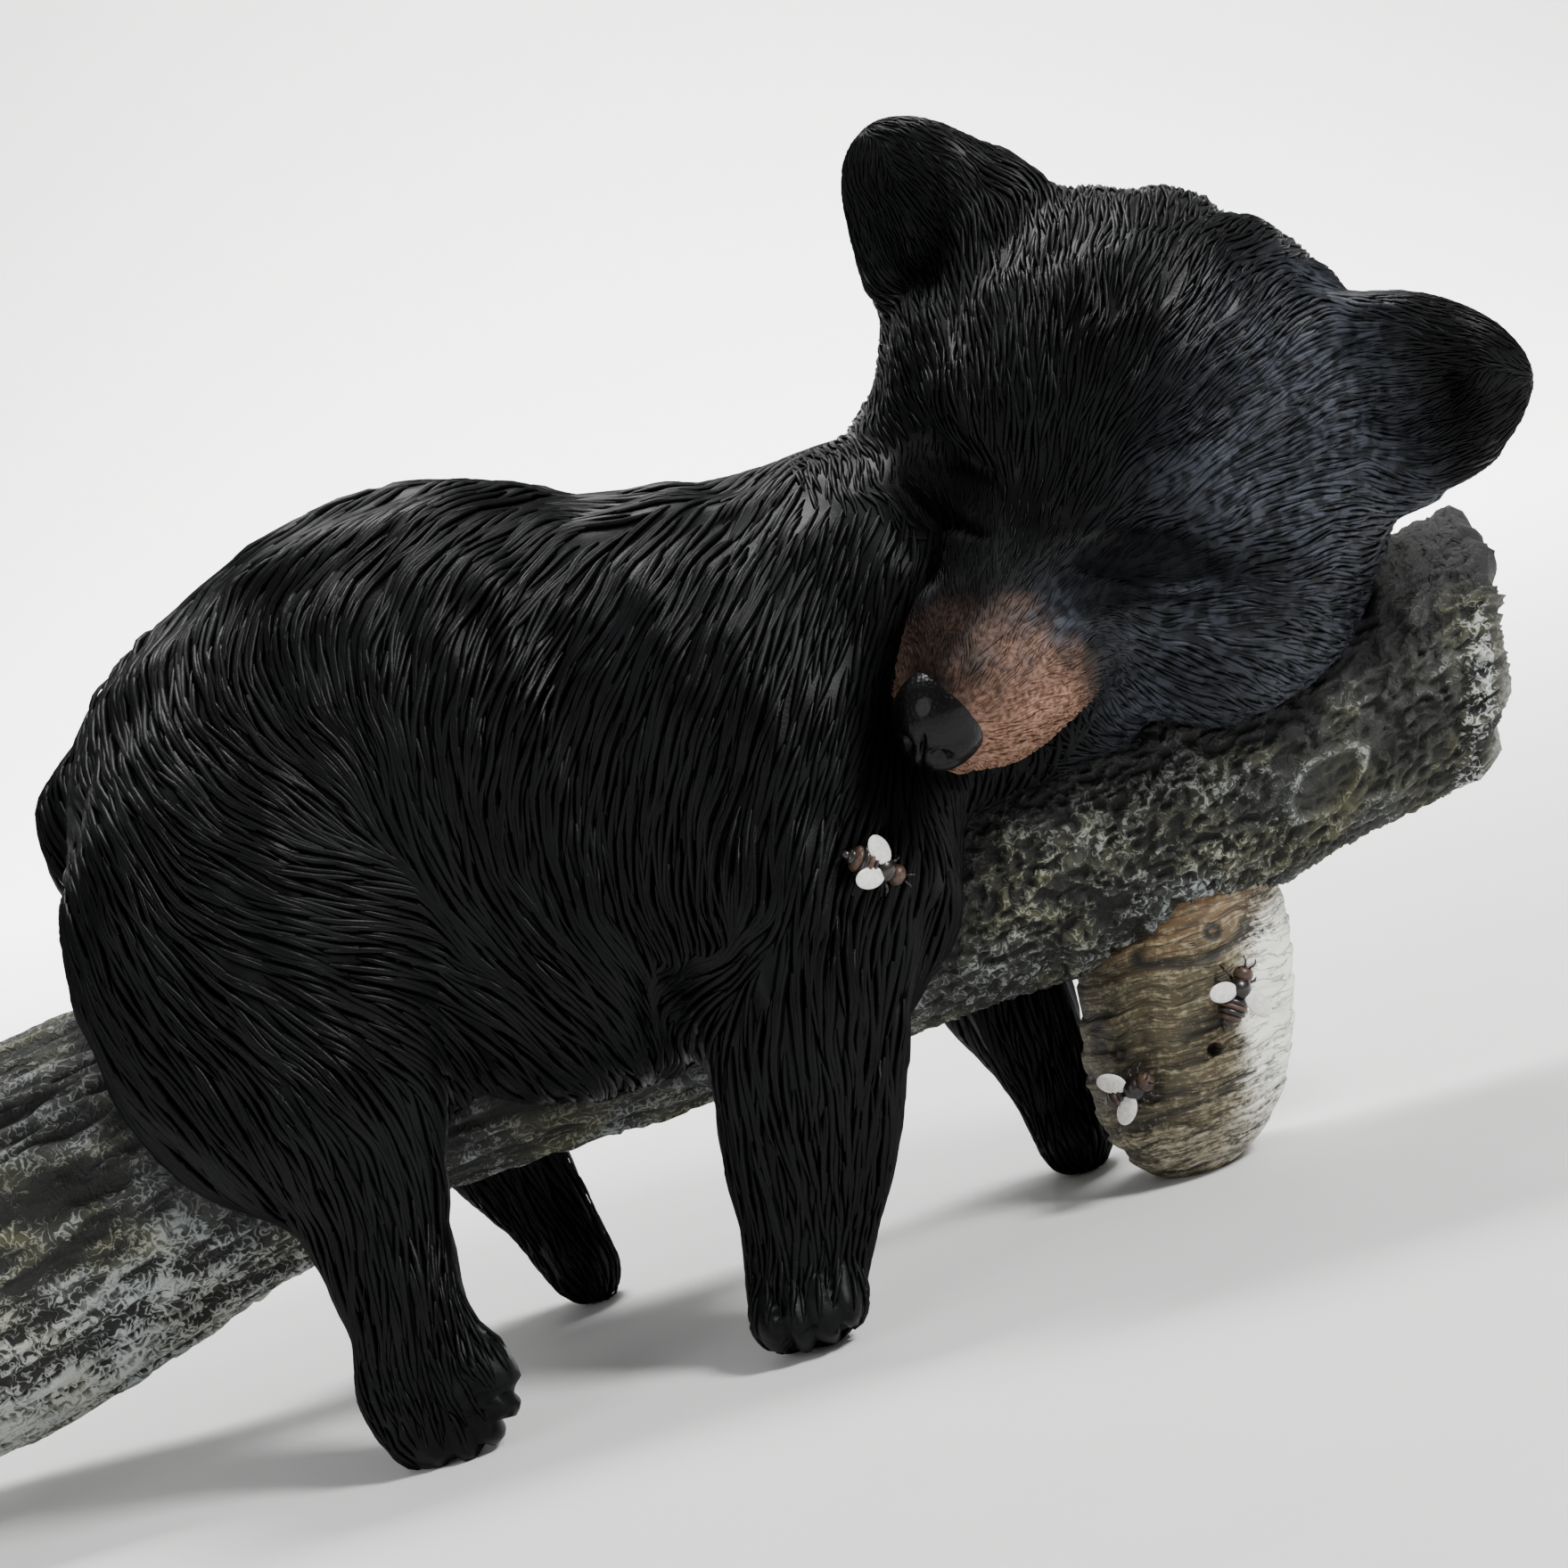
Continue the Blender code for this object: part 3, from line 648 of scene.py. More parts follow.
PAINT_MAPS = ("brown", "soot", "frost")


def shares_of(head, place, half):
    """Distances from the middle of an ellipsoid on the head, 1 on its surface."""
    return np.linalg.norm((head - place) / half, axis=1)


def coat_maps():
    """Where each coat grows, the share of its length that hairs have, and distances to the eyes."""
    head, height = skin_head, skin_points[:, 2]
    ears = np.min([shares_of(head, (EAR_PLACE[0] * side, *EAR_PLACE[1:]), EAR_HALF)
                   for side in (-1, 1)], axis=0) + 0.08 * lumps(skin_points, 6 * MM, 5) < 1.0
    neck = HEAD_EDGE + 5.0 * lumps(skin_points, 9 * MM, 3)
    reach = np.linalg.norm(head, axis=1)
    muzzle = (shares_of(head, SNOUT_PLACE, SNOUT_HALF) < 1.0) & (to_muzzle < to_arm)
    on_the_head = (reach < neck) & (height > HEAD_FOOT) | ears | muzzle
    on_the_head &= ~((to_arm < to_muzzle) & (head[:, 2] > 42.0))
    both = [eye_places(head, side) for side in (-1, 1)]
    eyes = np.min([np.hypot(*eye) for eye in both], axis=0) + 9.0 * (head[:, 2] < FACE_DEPTH)
    crease = np.max([crease_of(*eye) for eye in both], axis=0) > 0.6
    bare = (shares_of(head, NOSE_PLACE, NOSE_HALF) < 1.02) | (toe_gaps(skin_points)[0] < 1.2) \
        | (crease & (head[:, 2] > FACE_DEPTH)) | (height < 0.6 * MM)
    fine = on_the_head & (muzzle | ears | (eyes < 1.25)) & ~bare
    under_ruff = (reach > neck - RUFF_OVERLAP) & (to_arm < 1.5) & ~ears & ~muzzle
    under_ruff |= (to_arm < to_muzzle + RUFF_OVERLAP) & (to_arm < 3.0) & (head[:, 2] > 38.0) \
        & ~muzzle
    body = (~on_the_head | under_ruff) & ~bare
    below_head = np.minimum(reach - neck, to_muzzle) < NECK_BAND
    legs = body & ((height < LEG_TOP + LEG_WAVER * lumps(skin_points, 7 * MM, 9)) | below_head)
    near = skin_points[:, 1] <= 0.0
    maps = {"coat_near": body & ~legs & near, "coat_far": body & ~legs & ~near, "coat_legs": legs,
            "coat_head": on_the_head & ~bare & ~fine, "coat_fine": fine}
    length = (0.62 + 0.38 * step(20 * MM, BODY_FULL, height)) \
        * np.where(on_the_head, 0.55 + 0.45 * step(1.2, 3.5, eyes), 1.0)
    length = np.where(legs, 0.6 + 0.4 * step(PAW_TOP, LEG_FULL, height), length)
    length = np.where(muzzle & on_the_head, 0.6, length)
    return {name: value.astype(float) for name, value in maps.items()}, length, eyes


# %% Paint maps
def paint_maps(eyes):
    """Where the muzzle is brown, made fainter on its shaded side as painted shade; where painted
    shade darkens the eye hollows, the muzzle's seam and its left side; and where the coat is
    blue-grey, brushed and, on the head's lit right side, a painted sheen.
    """
    head = skin_head
    across, up, forward = head.T
    away = shares_of(head, MUZZLE_PLACE, MUZZLE_HALF) + 0.07 * lumps(skin_points, 3 * MM, 6)
    brown = step(1.16, 0.8, away) * step(-0.5, 1.0, to_arm - to_muzzle)
    # Painted shade: the brown is made fainter on the muzzle's left side and top, towards the black.
    lit = 1.0 - 0.8 * step(4.0, -8.0, across) - 0.45 * step(-13.0, -2.0, up)
    # Painted shade: near black in the seam where the muzzle meets the arm.
    seam = bell(to_muzzle - to_arm, 0, 3.5) * step(36.0, 44.0, forward)
    x, y = eye_places(head, 1)
    lash = 0.9 * np.exp(-((x - LASH[0]) / 0.4) ** 2 - ((y - LASH[1]) / 0.22) ** 2) \
        * (forward > FACE_DEPTH)
    # Painted shade: near black in the eye hollows, in that seam and on the muzzle's left side.
    soot = np.maximum(0.85 * step(1.75, 0.9, eyes), seam) * (1.0 - lash)
    soot = np.maximum(soot, step(1.3, 1.0, away) * step(1.0, -5.0, across))
    tuft = 0.9 * np.exp(-((across - TUFT[0]) / 4.5) ** 2 - ((up - TUFT[1]) / 5.0) ** 2) \
        * step(36.0, 42.0, forward)
    # Painted sheen: blue-grey over the right side of the back of the head, where the lamp falls.
    ruff = step(4.0, 26.0, across) * step(-30.0, 0.0, forward) \
        * step(60.0, 50.0, np.linalg.norm(head, axis=1))
    frost = np.maximum(tuft, ruff * (0.4 + 0.3 * lumps(skin_points, 12 * MM, 8)))
    frost = np.maximum(np.clip(frost, 0.0, 1.0) * (1.0 - soot), lash)
    return brown * np.clip(lit, 0.1, 1.0), soot, frost


maps, hair_share, eyes = coat_maps()
growth = {**maps, **combs, "hair_share": hair_share}
for name, values in (*growth.items(), *zip(PAINT_MAPS, paint_maps(eyes))):
    store(skin_mesh, name, values)
print({name: f"{value.mean():.0%}" for name, value in maps.items()})

# %% [markdown]
# ## One node tree that grows every coat
# A hair of this casting is a ridge that swells from its root and runs out to a point, half sunk in
# the skin. Modelling them one by one would take thousands of curves, and a displaced skin would need
# millions of faces to be as crisp. So Geometry Nodes scatters the roots, gives each a short line,
# and walks the line's points over the skin along the comb, one step for each turn of a repeat zone.
# The lines then become closed tubes with three sides.

# %% The roots of the hairs
COAT_INPUTS = {"Geometry": ("Skin",), "String": ("Region", "Comb"),
               "Float": ("Spacing", "Length", "Width", "Height", "Stray"),
               "Int": ("Points", "Sides", "Seed"), "Material": ("Paint",)}
SHORTEST, LONGEST = 0.72, 1.22  # shares of a coat's length that its hairs have by chance


def hair_roots(add, given):
    """A line of no length yet for each hair, on its point of the skin, with chances of its own."""
    spacing = given["Spacing"]
    tries = add("Math DIVIDE", 3.0, add("Math MULTIPLY", spacing, spacing))
    region = add("InputNamedAttribute FLOAT", given["Region"])
    roots = add("DistributePointsOnFaces", given["Skin"], distribute_method="POISSON",
                Distance_Min=spacing, Density_Max=tries, Density_Factor=region, Seed=given["Seed"])
    line = add("ResampleCurve", add("CurvePrimitiveLine"), Count=given["Points"])
    hairs = add("InstanceOnPoints", roots, Instance=line, Scale=(0.0, 0.0, 0.0))
    chance = add("RandomValue FLOAT", -1.0, 1.0, Seed=given["Seed"])
    chances = {"stray": add("Math MULTIPLY", chance, given["Stray"]),
               "size": add("RandomValue FLOAT", SHORTEST, LONGEST, Seed=7)}
    for name, value in chances.items():
        hairs = add("StoreNamedAttribute FLOAT", hairs, Name=name, Value=value, domain="INSTANCE")
    return add("RealizeInstances", hairs)


def read_skin(add, given):
    """Fields of the skin, each read where the skin is nearest to a hair's point."""
    fields = [("normal", "FLOAT_VECTOR", add("InputNormal")),
              ("way", "FLOAT_VECTOR", add("InputNamedAttribute FLOAT_VECTOR", given["Comb"]))]
    fields += [(name, "FLOAT", add("InputNamedAttribute FLOAT", name))
               for name in ("hair_share", *PAINT_MAPS)]
    position = add("InputPosition")
    return {name: add("SampleNearestSurface " + kind, given["Skin"], field, Sample_Position=position)
            for name, kind, field in fields}


# %% Walking and thickening the hairs
HAIR_TAPER = ((0.0, 0.35), (0.18, 0.85), (0.42, 1.0), (0.75, 0.72), (1.0, 0.08))
HAIR_LIFT = ((0.0, 0.1), (0.3, 0.75), (0.65, 0.8), (1.0, 0.25))


def walk(tree, given, read, hairs, steps):
    """The repeat zone: each turn moves the points past its count one stride along the comb."""
    add = partial(add_node, tree)
    start, end = (tree.nodes.new("GeometryNodeRepeat" + side) for side in ("Input", "Output"))
    start.pair_with_output(end)
    end.repeat_items.new("FLOAT", "Count")
    feed(start, Iterations=steps, Geometry=hairs, Count=0.0)
    count, here = start.outputs["Count"], start.outputs["Geometry"]
    moving = add("Math GREATER_THAN", add("SplineParameter", out="Index"), count)
    across = add("VectorMath CROSS_PRODUCT", read["normal"], read["way"])
    aside = add("VectorMath SCALE", across, add("InputNamedAttribute FLOAT", "stray"))
    length = add("Math MULTIPLY", given["Length"], read["hair_share"])
    length = add("Math MULTIPLY", length, add("InputNamedAttribute FLOAT", "size"))
    stride = add("Math DIVIDE", length, steps)
    offset = add("VectorMath SCALE", add("VectorMath ADD", read["way"], aside), stride)
    moved = add("SetPosition", here, Selection=moving, Offset=offset)
    laid = add("Proximity", given["Skin"], target_element="FACES")
    feed(end, Geometry=add("SetPosition", moved, Position=laid), Count=add("Math ADD", count, 1.0))
    return end.outputs["Geometry"]


def thicken(add, given, read, hairs, steps):
    """Painted tubes round the walked hairs, lifted off the skin between their roots and tips."""
    part = add("Math DIVIDE", add("SplineParameter", out="Index"), steps)
    drawn = []
    for knots in (HAIR_TAPER, HAIR_LIFT):
        drawn.append(add("FloatCurve", Value=part))
        mapping = drawn[-1].node.mapping
        for end, knot in ((0, knots[0]), (1, knots[-1])):
            mapping.curves[0].points[end].location = knot
        for knot in knots[1:-1]:
            mapping.curves[0].points.new(*knot)
        mapping.update()
    thick = add("Math MULTIPLY", drawn[0], add("InputNamedAttribute FLOAT", "size"))
    lift = add("Math MULTIPLY", drawn[1], add("Math MULTIPLY", given["Height"], 0.45))
    for name in PAINT_MAPS:
        hairs = add("StoreNamedAttribute FLOAT", hairs, Name=name, Value=read[name], domain="POINT")
    raised = add("SetPosition", hairs, Offset=add("VectorMath SCALE", read["normal"], lift))
    upright = add("SetCurveNormal", raised, mode="FREE", Normal=read["normal"])
    slim = add("Math ADD", add("Math MULTIPLY", read["hair_share"], 0.65), 0.35)
    radius = add("Math MULTIPLY", add("Math MULTIPLY", thick, slim),
                 add("Math MULTIPLY", given["Width"], 0.5))
    ring = add("CurvePrimitiveCircle", Resolution=given["Sides"], Radius=1.0)
    flatness = add("Math DIVIDE", given["Height"], given["Width"])
    flat = add("Transform", ring, Scale=add("CombineXYZ", flatness, 1.0, 1.0))
    tubes = add("CurveToMesh", upright, flat, radius, Fill_Caps=True)
    whole = add("RealizeInstances", add("SetShadeSmooth", tubes))
    return add("SetMaterial", whole, Material=given["Paint"])


def coat_tree():
    tree = bpy.data.node_groups.new("carved_coat", "GeometryNodeTree")
    for kind, names in COAT_INPUTS.items():
        for name in names:
            tree.interface.new_socket(name, in_out="INPUT", socket_type="NodeSocket" + kind)
    tree.interface.new_socket("Coat", in_out="OUTPUT", socket_type="NodeSocketGeometry")
    add = partial(add_node, tree)
    given = add("NodeGroupInput").node.outputs
    read = read_skin(add, given)
    steps = add("Math SUBTRACT", given["Points"], 1.0)
    hairs = walk(tree, given, read, hair_roots(add, given), steps)
    feed(tree.nodes.new("NodeGroupOutput"), thicken(add, given, read, hairs, steps))
    return tree


def grow(name, tree, skin, **given):
    """A new piece: the tree's coat over a copy of the skin, with the tree's inputs as given."""
    thing = new_object(name, skin.copy())
    modifier = thing.modifiers.new("coat", "NODES")
    modifier.node_group = tree
    for item in tree.interface.items_tree:
        if item.in_out == "INPUT" and item.name in given:
            modifier[item.identifier] = given[item.name]
    mesh = settled(thing)
    points = points_of(mesh)
    points[:, 2] = np.maximum(points[:, 2], 0.0)         # hairs under the paws stop at the ground
    set_points(mesh, points)
    for spent in {"stray", "size", *growth} & {layer.name for layer in mesh.attributes}:
        mesh.attributes.remove(mesh.attributes[spent])
    return new_object(name, mesh)


# %% [markdown]
# ## Black fur paint and the brown muzzle
# The cub is sprayed satin black: nearly black in its grooves, with a soft sheen that shows every
# ridge. The muzzle is airbrushed brown and fades into the black with no edge; on its left side and
# top the brown is made fainter, as painted shade. Painted shade, near black and dull, also fills the
# eye hollows, the seam where the muzzle meets the arm and the muzzle's left side. A blue-grey is
# dry-brushed in streaks over the right of the head, and over the back of the head's right side it is
# a painted sheen where the lamp falls. The brown, the painted shade and the blue-grey are maps of
# the skin, which every hair takes from where it lies.

# %% Fur paint
def paint_fur():
    """Satin black with clouds of 14 mm, streaks of 2.2 mm, hairs of 0.9 mm and grit of 0.5 mm. The
    painted shade and the muzzle are dull, so the eye reads them as deep and soft."""
    material, add, place = new_paint("satin_black_acrylic_on_carved_resin")
    brown_share, soot, frost = (add("Attribute", out="Fac", attribute_name=name)
                                for name in PAINT_MAPS)
    cloudy, streaks, hairs, grit = (
        add("TexNoise", place, Scale=1 / (size * MM), Detail=detail)
        for size, detail in ((14, 4.0), (2.2, 1.0), (0.9, 2.0), (0.5, 3.0)))
    black = add("Mix RGBA", add("MapRange", cloudy, 0.35, 0.7), "050506", "0d0e0f")
    # The blue-grey is partly dry-brush and partly a painted sheen on the head's lit right side.
    frost = add("Math MULTIPLY", frost, add("MapRange", streaks, 0.42, 0.58, 0.25, 1.0))
    black = add("Mix RGBA", frost, black, "4c5059")
    brown = add("Mix RGBA", add("MapRange", hairs, 0.35, 0.65), "5e4437", "9a7968")
    dull = add("Math MAXIMUM", soot, add("Math MULTIPLY", brown_share, 0.8))
    rough = add("MapRange", cloudy, 0.3, 0.7, 0.34, 0.48)
    rough = add("Math ADD", rough, add("Math MULTIPLY", dull, 0.4))
    gloss = add("Math SUBTRACT", 0.12, add("Math MULTIPLY", dull, 0.1))
    colour = add("Mix RGBA", brown_share, black, brown)
    return finish_paint(material, colour, rough, grit, 0.35, 0.15, Specular_IOR_Level=gloss)


fur_paint = paint_fur()

# %% Growing the coats
COATS = {                       # comb; spacing, length, width and height in mm; stray, points, seed
    "near": ("comb_body", (2.6, 19, 2.2, 1.25), 0.14, 8, 1),
    "far": ("comb_body", (2.8, 19, 2.3, 1.25), 0.14, 8, 2),
    "legs": ("comb_body", (2.0, 10.5, 1.75, 0.9), 0.14, 6, 5),
    "head": ("comb_head", (1.6, 9, 1.3, 0.8), 0.18, 6, 3),
    "fine": ("comb_head", (1.05, 5.5, 0.85, 0.42), 0.22, 4, 4),
}
coat = coat_tree()
for name, (comb, sizes, stray, count, seed) in COATS.items():
    lengths = dict(zip(("Spacing", "Length", "Width", "Height"), (size * MM for size in sizes)))
    piece = grow("cub_coat_" + name, coat, skin_mesh, Region="coat_" + name, Comb=comb, Stray=stray,
                 Points=count, Sides=3, Seed=seed, Paint=fur_paint, **lengths)
    hand_over(piece, "black_fur_paint")

for name in growth:
    skin_mesh.attributes.remove(skin_mesh.attributes[name])
hand_over(new_object("cub_skin", skin_mesh, fur_paint), "black_fur_paint", "bear_cub")

# %% [markdown]
# ## The nose
# The nose is a broad leathery pad with two comma-shaped nostrils and a groove between them. On the
# real casting it is painted with gloss over black, so it throws the sharpest glints of the whole
# statue. A ball is pressed into the pad's shape point by point, because the pad is small and smooth.

# %% The nose pad
def paint_nose():
    """Black with leather cells of 0.7 mm under a thin gloss coat."""
    material, add, place = new_paint("gloss_black_enamel_on_nose_leather")
    cells = add("TexVoronoi", place, Scale=1 / (0.7 * MM))
    colour = add("Mix RGBA", add("MapRange", cells, 0.0, 0.6), "060606", "020202")
    return finish_paint(material, colour, 0.35, cells, 0.5, 0.25, Specular_IOR_Level=0.1,
                        Coat_Weight=0.22, Coat_Roughness=0.12)


def build_nose():
    bm = bmesh.new()
    bmesh.ops.create_uvsphere(bm, u_segments=72, v_segments=48, radius=1.0)
    mesh = mesh_from(bm, "cub_nose")
    across, up, forward = points_of(mesh).T
    dents = 0.0
    for side in (-1, 1):
        out = across * side
        nostril = np.hypot((out - 0.4) / 0.2, (up + 0.42 - 0.25 * across * side) / 0.15)
        slit = np.hypot((out - 0.66) / 0.16, (up + 0.44) / 0.06)
        dents += 0.26 * bell(nostril, 0, 1) + 0.07 * bell(slit, 0, 1)
    dents += 0.14 * bell(across, 0, 0.07) * step(0.25, -0.2, up)
    width = 1.0 - 0.08 * step(0.1, -0.9, up)
    pad = np.stack((across * width, up, forward * 1.02), axis=1)
    pad *= (1.0 - dents * step(0.1, 0.5, forward))[:, None]
    pad = pad * NOSE_HALF + NOSE_PLACE
    set_points(mesh, pad * MM @ np.array(HEAD_TURN).T + np.array(HEAD_CENTRE))
    return new_object("cub_nose", mesh, paint_nose())


hand_over(build_nose(), "black_fur_paint")

# %% [markdown]
# ## The branch
# The branch is a casting of real bark: long furrows and cracks run along its thick end, and towards
# the broken end the bark crumples into worm-like ridges round the scar of a lost twig. It is built
# as one tube of rings that follows the CAD branch's own axis and thickness, and the bark is a height
# for each point: noise that is stretched along the branch, or folded about its zero to make ridges.
# The height is kept as an attribute, because the dry-brushed paint catches on what stands proud.

# %% The bark's height
BRANCH_TIP, BRANCH_LENGTH = 135.0, 305.0
BRANCH_BUTT = BRANCH_TIP - BRANCH_LENGTH
BUTT_THICK, WAIST_THICK, TIP_THICK = 70.0, 53.0, 49.0
CRUMPLE_FROM = 20.0             # along the branch, where furrows give way to crumpled bark
KNOT_X, KNOT_TURN, KNOT_HALF = 104.0, math.radians(-113), (7.2, 5.4)


def branch_axis(s):
    """The CAD branch's centre line: height and depth at s millimetres along it."""
    height = 63.5 + 10.0 * step(60.0, 145.0, s) - 13.0 * step(-60.0, -165.0, s)
    return height, 1.5 * np.sin(s / 42.0)


def branch_radius(s):
    thick = WAIST_THICK + (BUTT_THICK - WAIST_THICK) * step(-45.0, -160.0, s)
    return (thick + (TIP_THICK - WAIST_THICK) * step(20.0, 130.0, s)) / 2


def folded(points, size, seed):
    """Noise folded about zero: thin ridges, 1 at their crest, that wander like worms."""
    return 1.0 - np.abs(lumps(points, size, seed)) * 2.2


def bark_height(s, turn):
    """Height of the bark from 0 to 1 at s along the branch and turn round it."""
    radius = branch_radius(s)
    wrapped = np.stack((s, radius * np.cos(turn), radius * np.sin(turn)), axis=1)
    warp, fret = (np.stack([lumps(wrapped, size, seed + axis) for axis in range(3)], axis=1)
                  for size, seed in ((7.0, 20), (2.5, 23)))
    long = wrapped * (0.11, 1.0, 1.0) + warp * (0.25, 0.9, 0.9) + fret * 0.25
    furrows = 0.5 * folded(long, 3.6, 1) + 0.35 * folded(long * (1.6, 1.0, 1.0), 1.7, 2) \
        + 0.25 * lumps(long, 9.0, 3)
    cracks = folded(wrapped * (0.1, 1.0, 1.0) + warp * (0.3, 1.2, 1.2), 15.0, 4)
    furrows = furrows - 0.9 * step(0.9, 0.97, cracks) \
        + 0.3 * step(0.8, 0.88, cracks) * step(0.96, 0.9, cracks)
    bent = wrapped * (0.75, 1.0, 1.0) + warp * 1.8 + fret * 0.9
    worms = 0.5 * folded(bent, 1.7, 5) + 0.25 * folded(bent, 1.0, 6) + 0.4 * lumps(wrapped, 9.0, 7)
    height = furrows + (worms - furrows) * step(-25.0, 25.0, s - CRUMPLE_FROM + 9.0 * warp[:, 0])
    away = np.hypot((s - KNOT_X) / KNOT_HALF[0], (turn - KNOT_TURN) * radius / KNOT_HALF[1]) \
        + 0.26 * warp[:, 1] + 0.1 * fret[:, 1]
    near = bell(away, 0, 1.45, 4)
    ring = 0.95 * bell(away, 1.0, 0.14) + 0.35 * height * step(0.9, 0.7, away) + 0.15
    return np.clip(height * (1.0 - near) + ring * near + 0.1 * fret[:, 0], -0.35, 1.25)


# %% The branch's rings
BARK_RELIEF = 1.86              # between the bottoms and the crests of the bark
TIP_SLANT, TIP_DOME = 0.24, 5.0
BUTT_RINGS, TIP_RINGS, BRANCH_SIDES, END_LOOPS = 170, 200, 236, 14
NEAR_TURN = math.radians(-120)  # round the branch from its top, towards the camera


def branch_turns():
    """Turns round the branch, closer together on the side that the photograph shows."""
    turns = np.linspace(-math.pi, math.pi, 2001)
    wanted = 1.0 + 0.5 * np.cos(turns - NEAR_TURN)
    share = np.concatenate(([0.0], np.cumsum((wanted[1:] + wanted[:-1]) / 2)))
    return np.interp(np.arange(BRANCH_SIDES) / BRANCH_SIDES * share[-1], share, turns)


def branch_points():
    """Points, bark height and share of torn wood of every ring, and of the loops that close both
    ends: a sawn face with year rings at the butt, and splinters at the tip."""
    along = [*np.linspace(BRANCH_BUTT, CRUMPLE_FROM - 20.0, BUTT_RINGS, endpoint=False),
             *np.linspace(CRUMPLE_FROM - 20.0, BRANCH_TIP, TIP_RINGS)]
    inset = [1.0 - loop / END_LOOPS for loop in range(1, END_LOOPS)]
    rows = [(BRANCH_BUTT, shrink) for shrink in inset[::-1]] + [(x, 1.0) for x in along] \
        + [(BRANCH_TIP, shrink) for shrink in inset]
    s, shrink = (np.repeat(column, BRANCH_SIDES) for column in zip(*rows))
    turn = np.tile(branch_turns(), len(rows))
    bark = bark_height(s, turn)
    height, depth = branch_axis(s)
    radius = (branch_radius(s) - BARK_RELIEF * (1.0 - bark)) * shrink
    flat = np.stack((s, depth + radius * np.sin(turn), height + radius * np.cos(turn)), axis=1)
    inner = step(1.0, 0.88, shrink)
    torn, sawn = inner * (s > 0.0), inner * (s < 0.0)
    splinters = 0.5 * folded(flat * (1.0, 1.0, 0.3), 3.0, 11) + 0.5 * lumps(flat, 9.0, 12)
    rim = step(BRANCH_TIP - 5.0, BRANCH_TIP, s) * lumps(flat, 5.0, 14)
    dome = TIP_DOME * np.sqrt(1.0 - shrink ** 2) * (s > 0.0)
    flat[:, 0] += dome + 2.0 * splinters * torn + 1.1 * rim
    slanted = step(0.7, 1.0, (s - BRANCH_BUTT) / BRANCH_LENGTH)
    flat[:, 0] += TIP_SLANT * (flat[:, 2] - height) * slanted
    rings = 0.5 + 0.5 * np.sin(shrink * 75.0 + 1.5 * lumps(flat, 12.0, 13))
    flat[:, 0] += (0.4 * rings + 0.3 * lumps(flat, 3.0, 15)) * sawn
    bark += (0.45 + 0.5 * splinters - bark) * torn
    bark += (0.15 + 0.45 * rings - bark) * sawn
    return flat, bark, torn, len(rows)


def closed_tube(name, points, rows, sides):
    """A tube of rings whose two ends close on a middle point. Its faces point outwards."""
    first, last = points[:sides].mean(axis=0), points[-sides:].mean(axis=0)
    low, high, top = len(points), len(points) + 1, (rows - 1) * sides
    pairs = [(side, (side + 1) % sides) for side in range(sides)]
    faces = [(row + a, row + sides + a, row + sides + b, row + b)
             for row in range(0, top, sides) for a, b in pairs]
    for a, b in pairs:
        faces += [(low, a, b), (high, top + b, top + a)]
    rings = bpy.data.meshes.new("rings")
    rings.from_pydata(np.vstack((points, first, last)).tolist(), [], faces)
    bm = bmesh.new()
    bm.from_mesh(rings)
    bpy.data.meshes.remove(rings)
    bmesh.ops.recalc_face_normals(bm, faces=bm.faces)
    return mesh_from(bm, name)


# %% [markdown]
# ## Bark paint
# The bark is painted dark grey-brown, washed with olive, and then dry-brushed: a nearly dry brush of
# pale grey leaves paint only on the crests. Beside the cub the bark is darkened to near black, and
# so is the top of the broken end next to the cheek. The torn wood shows paler splinters, and the
# sawn face keeps the dark wash, with its rings a little paler.

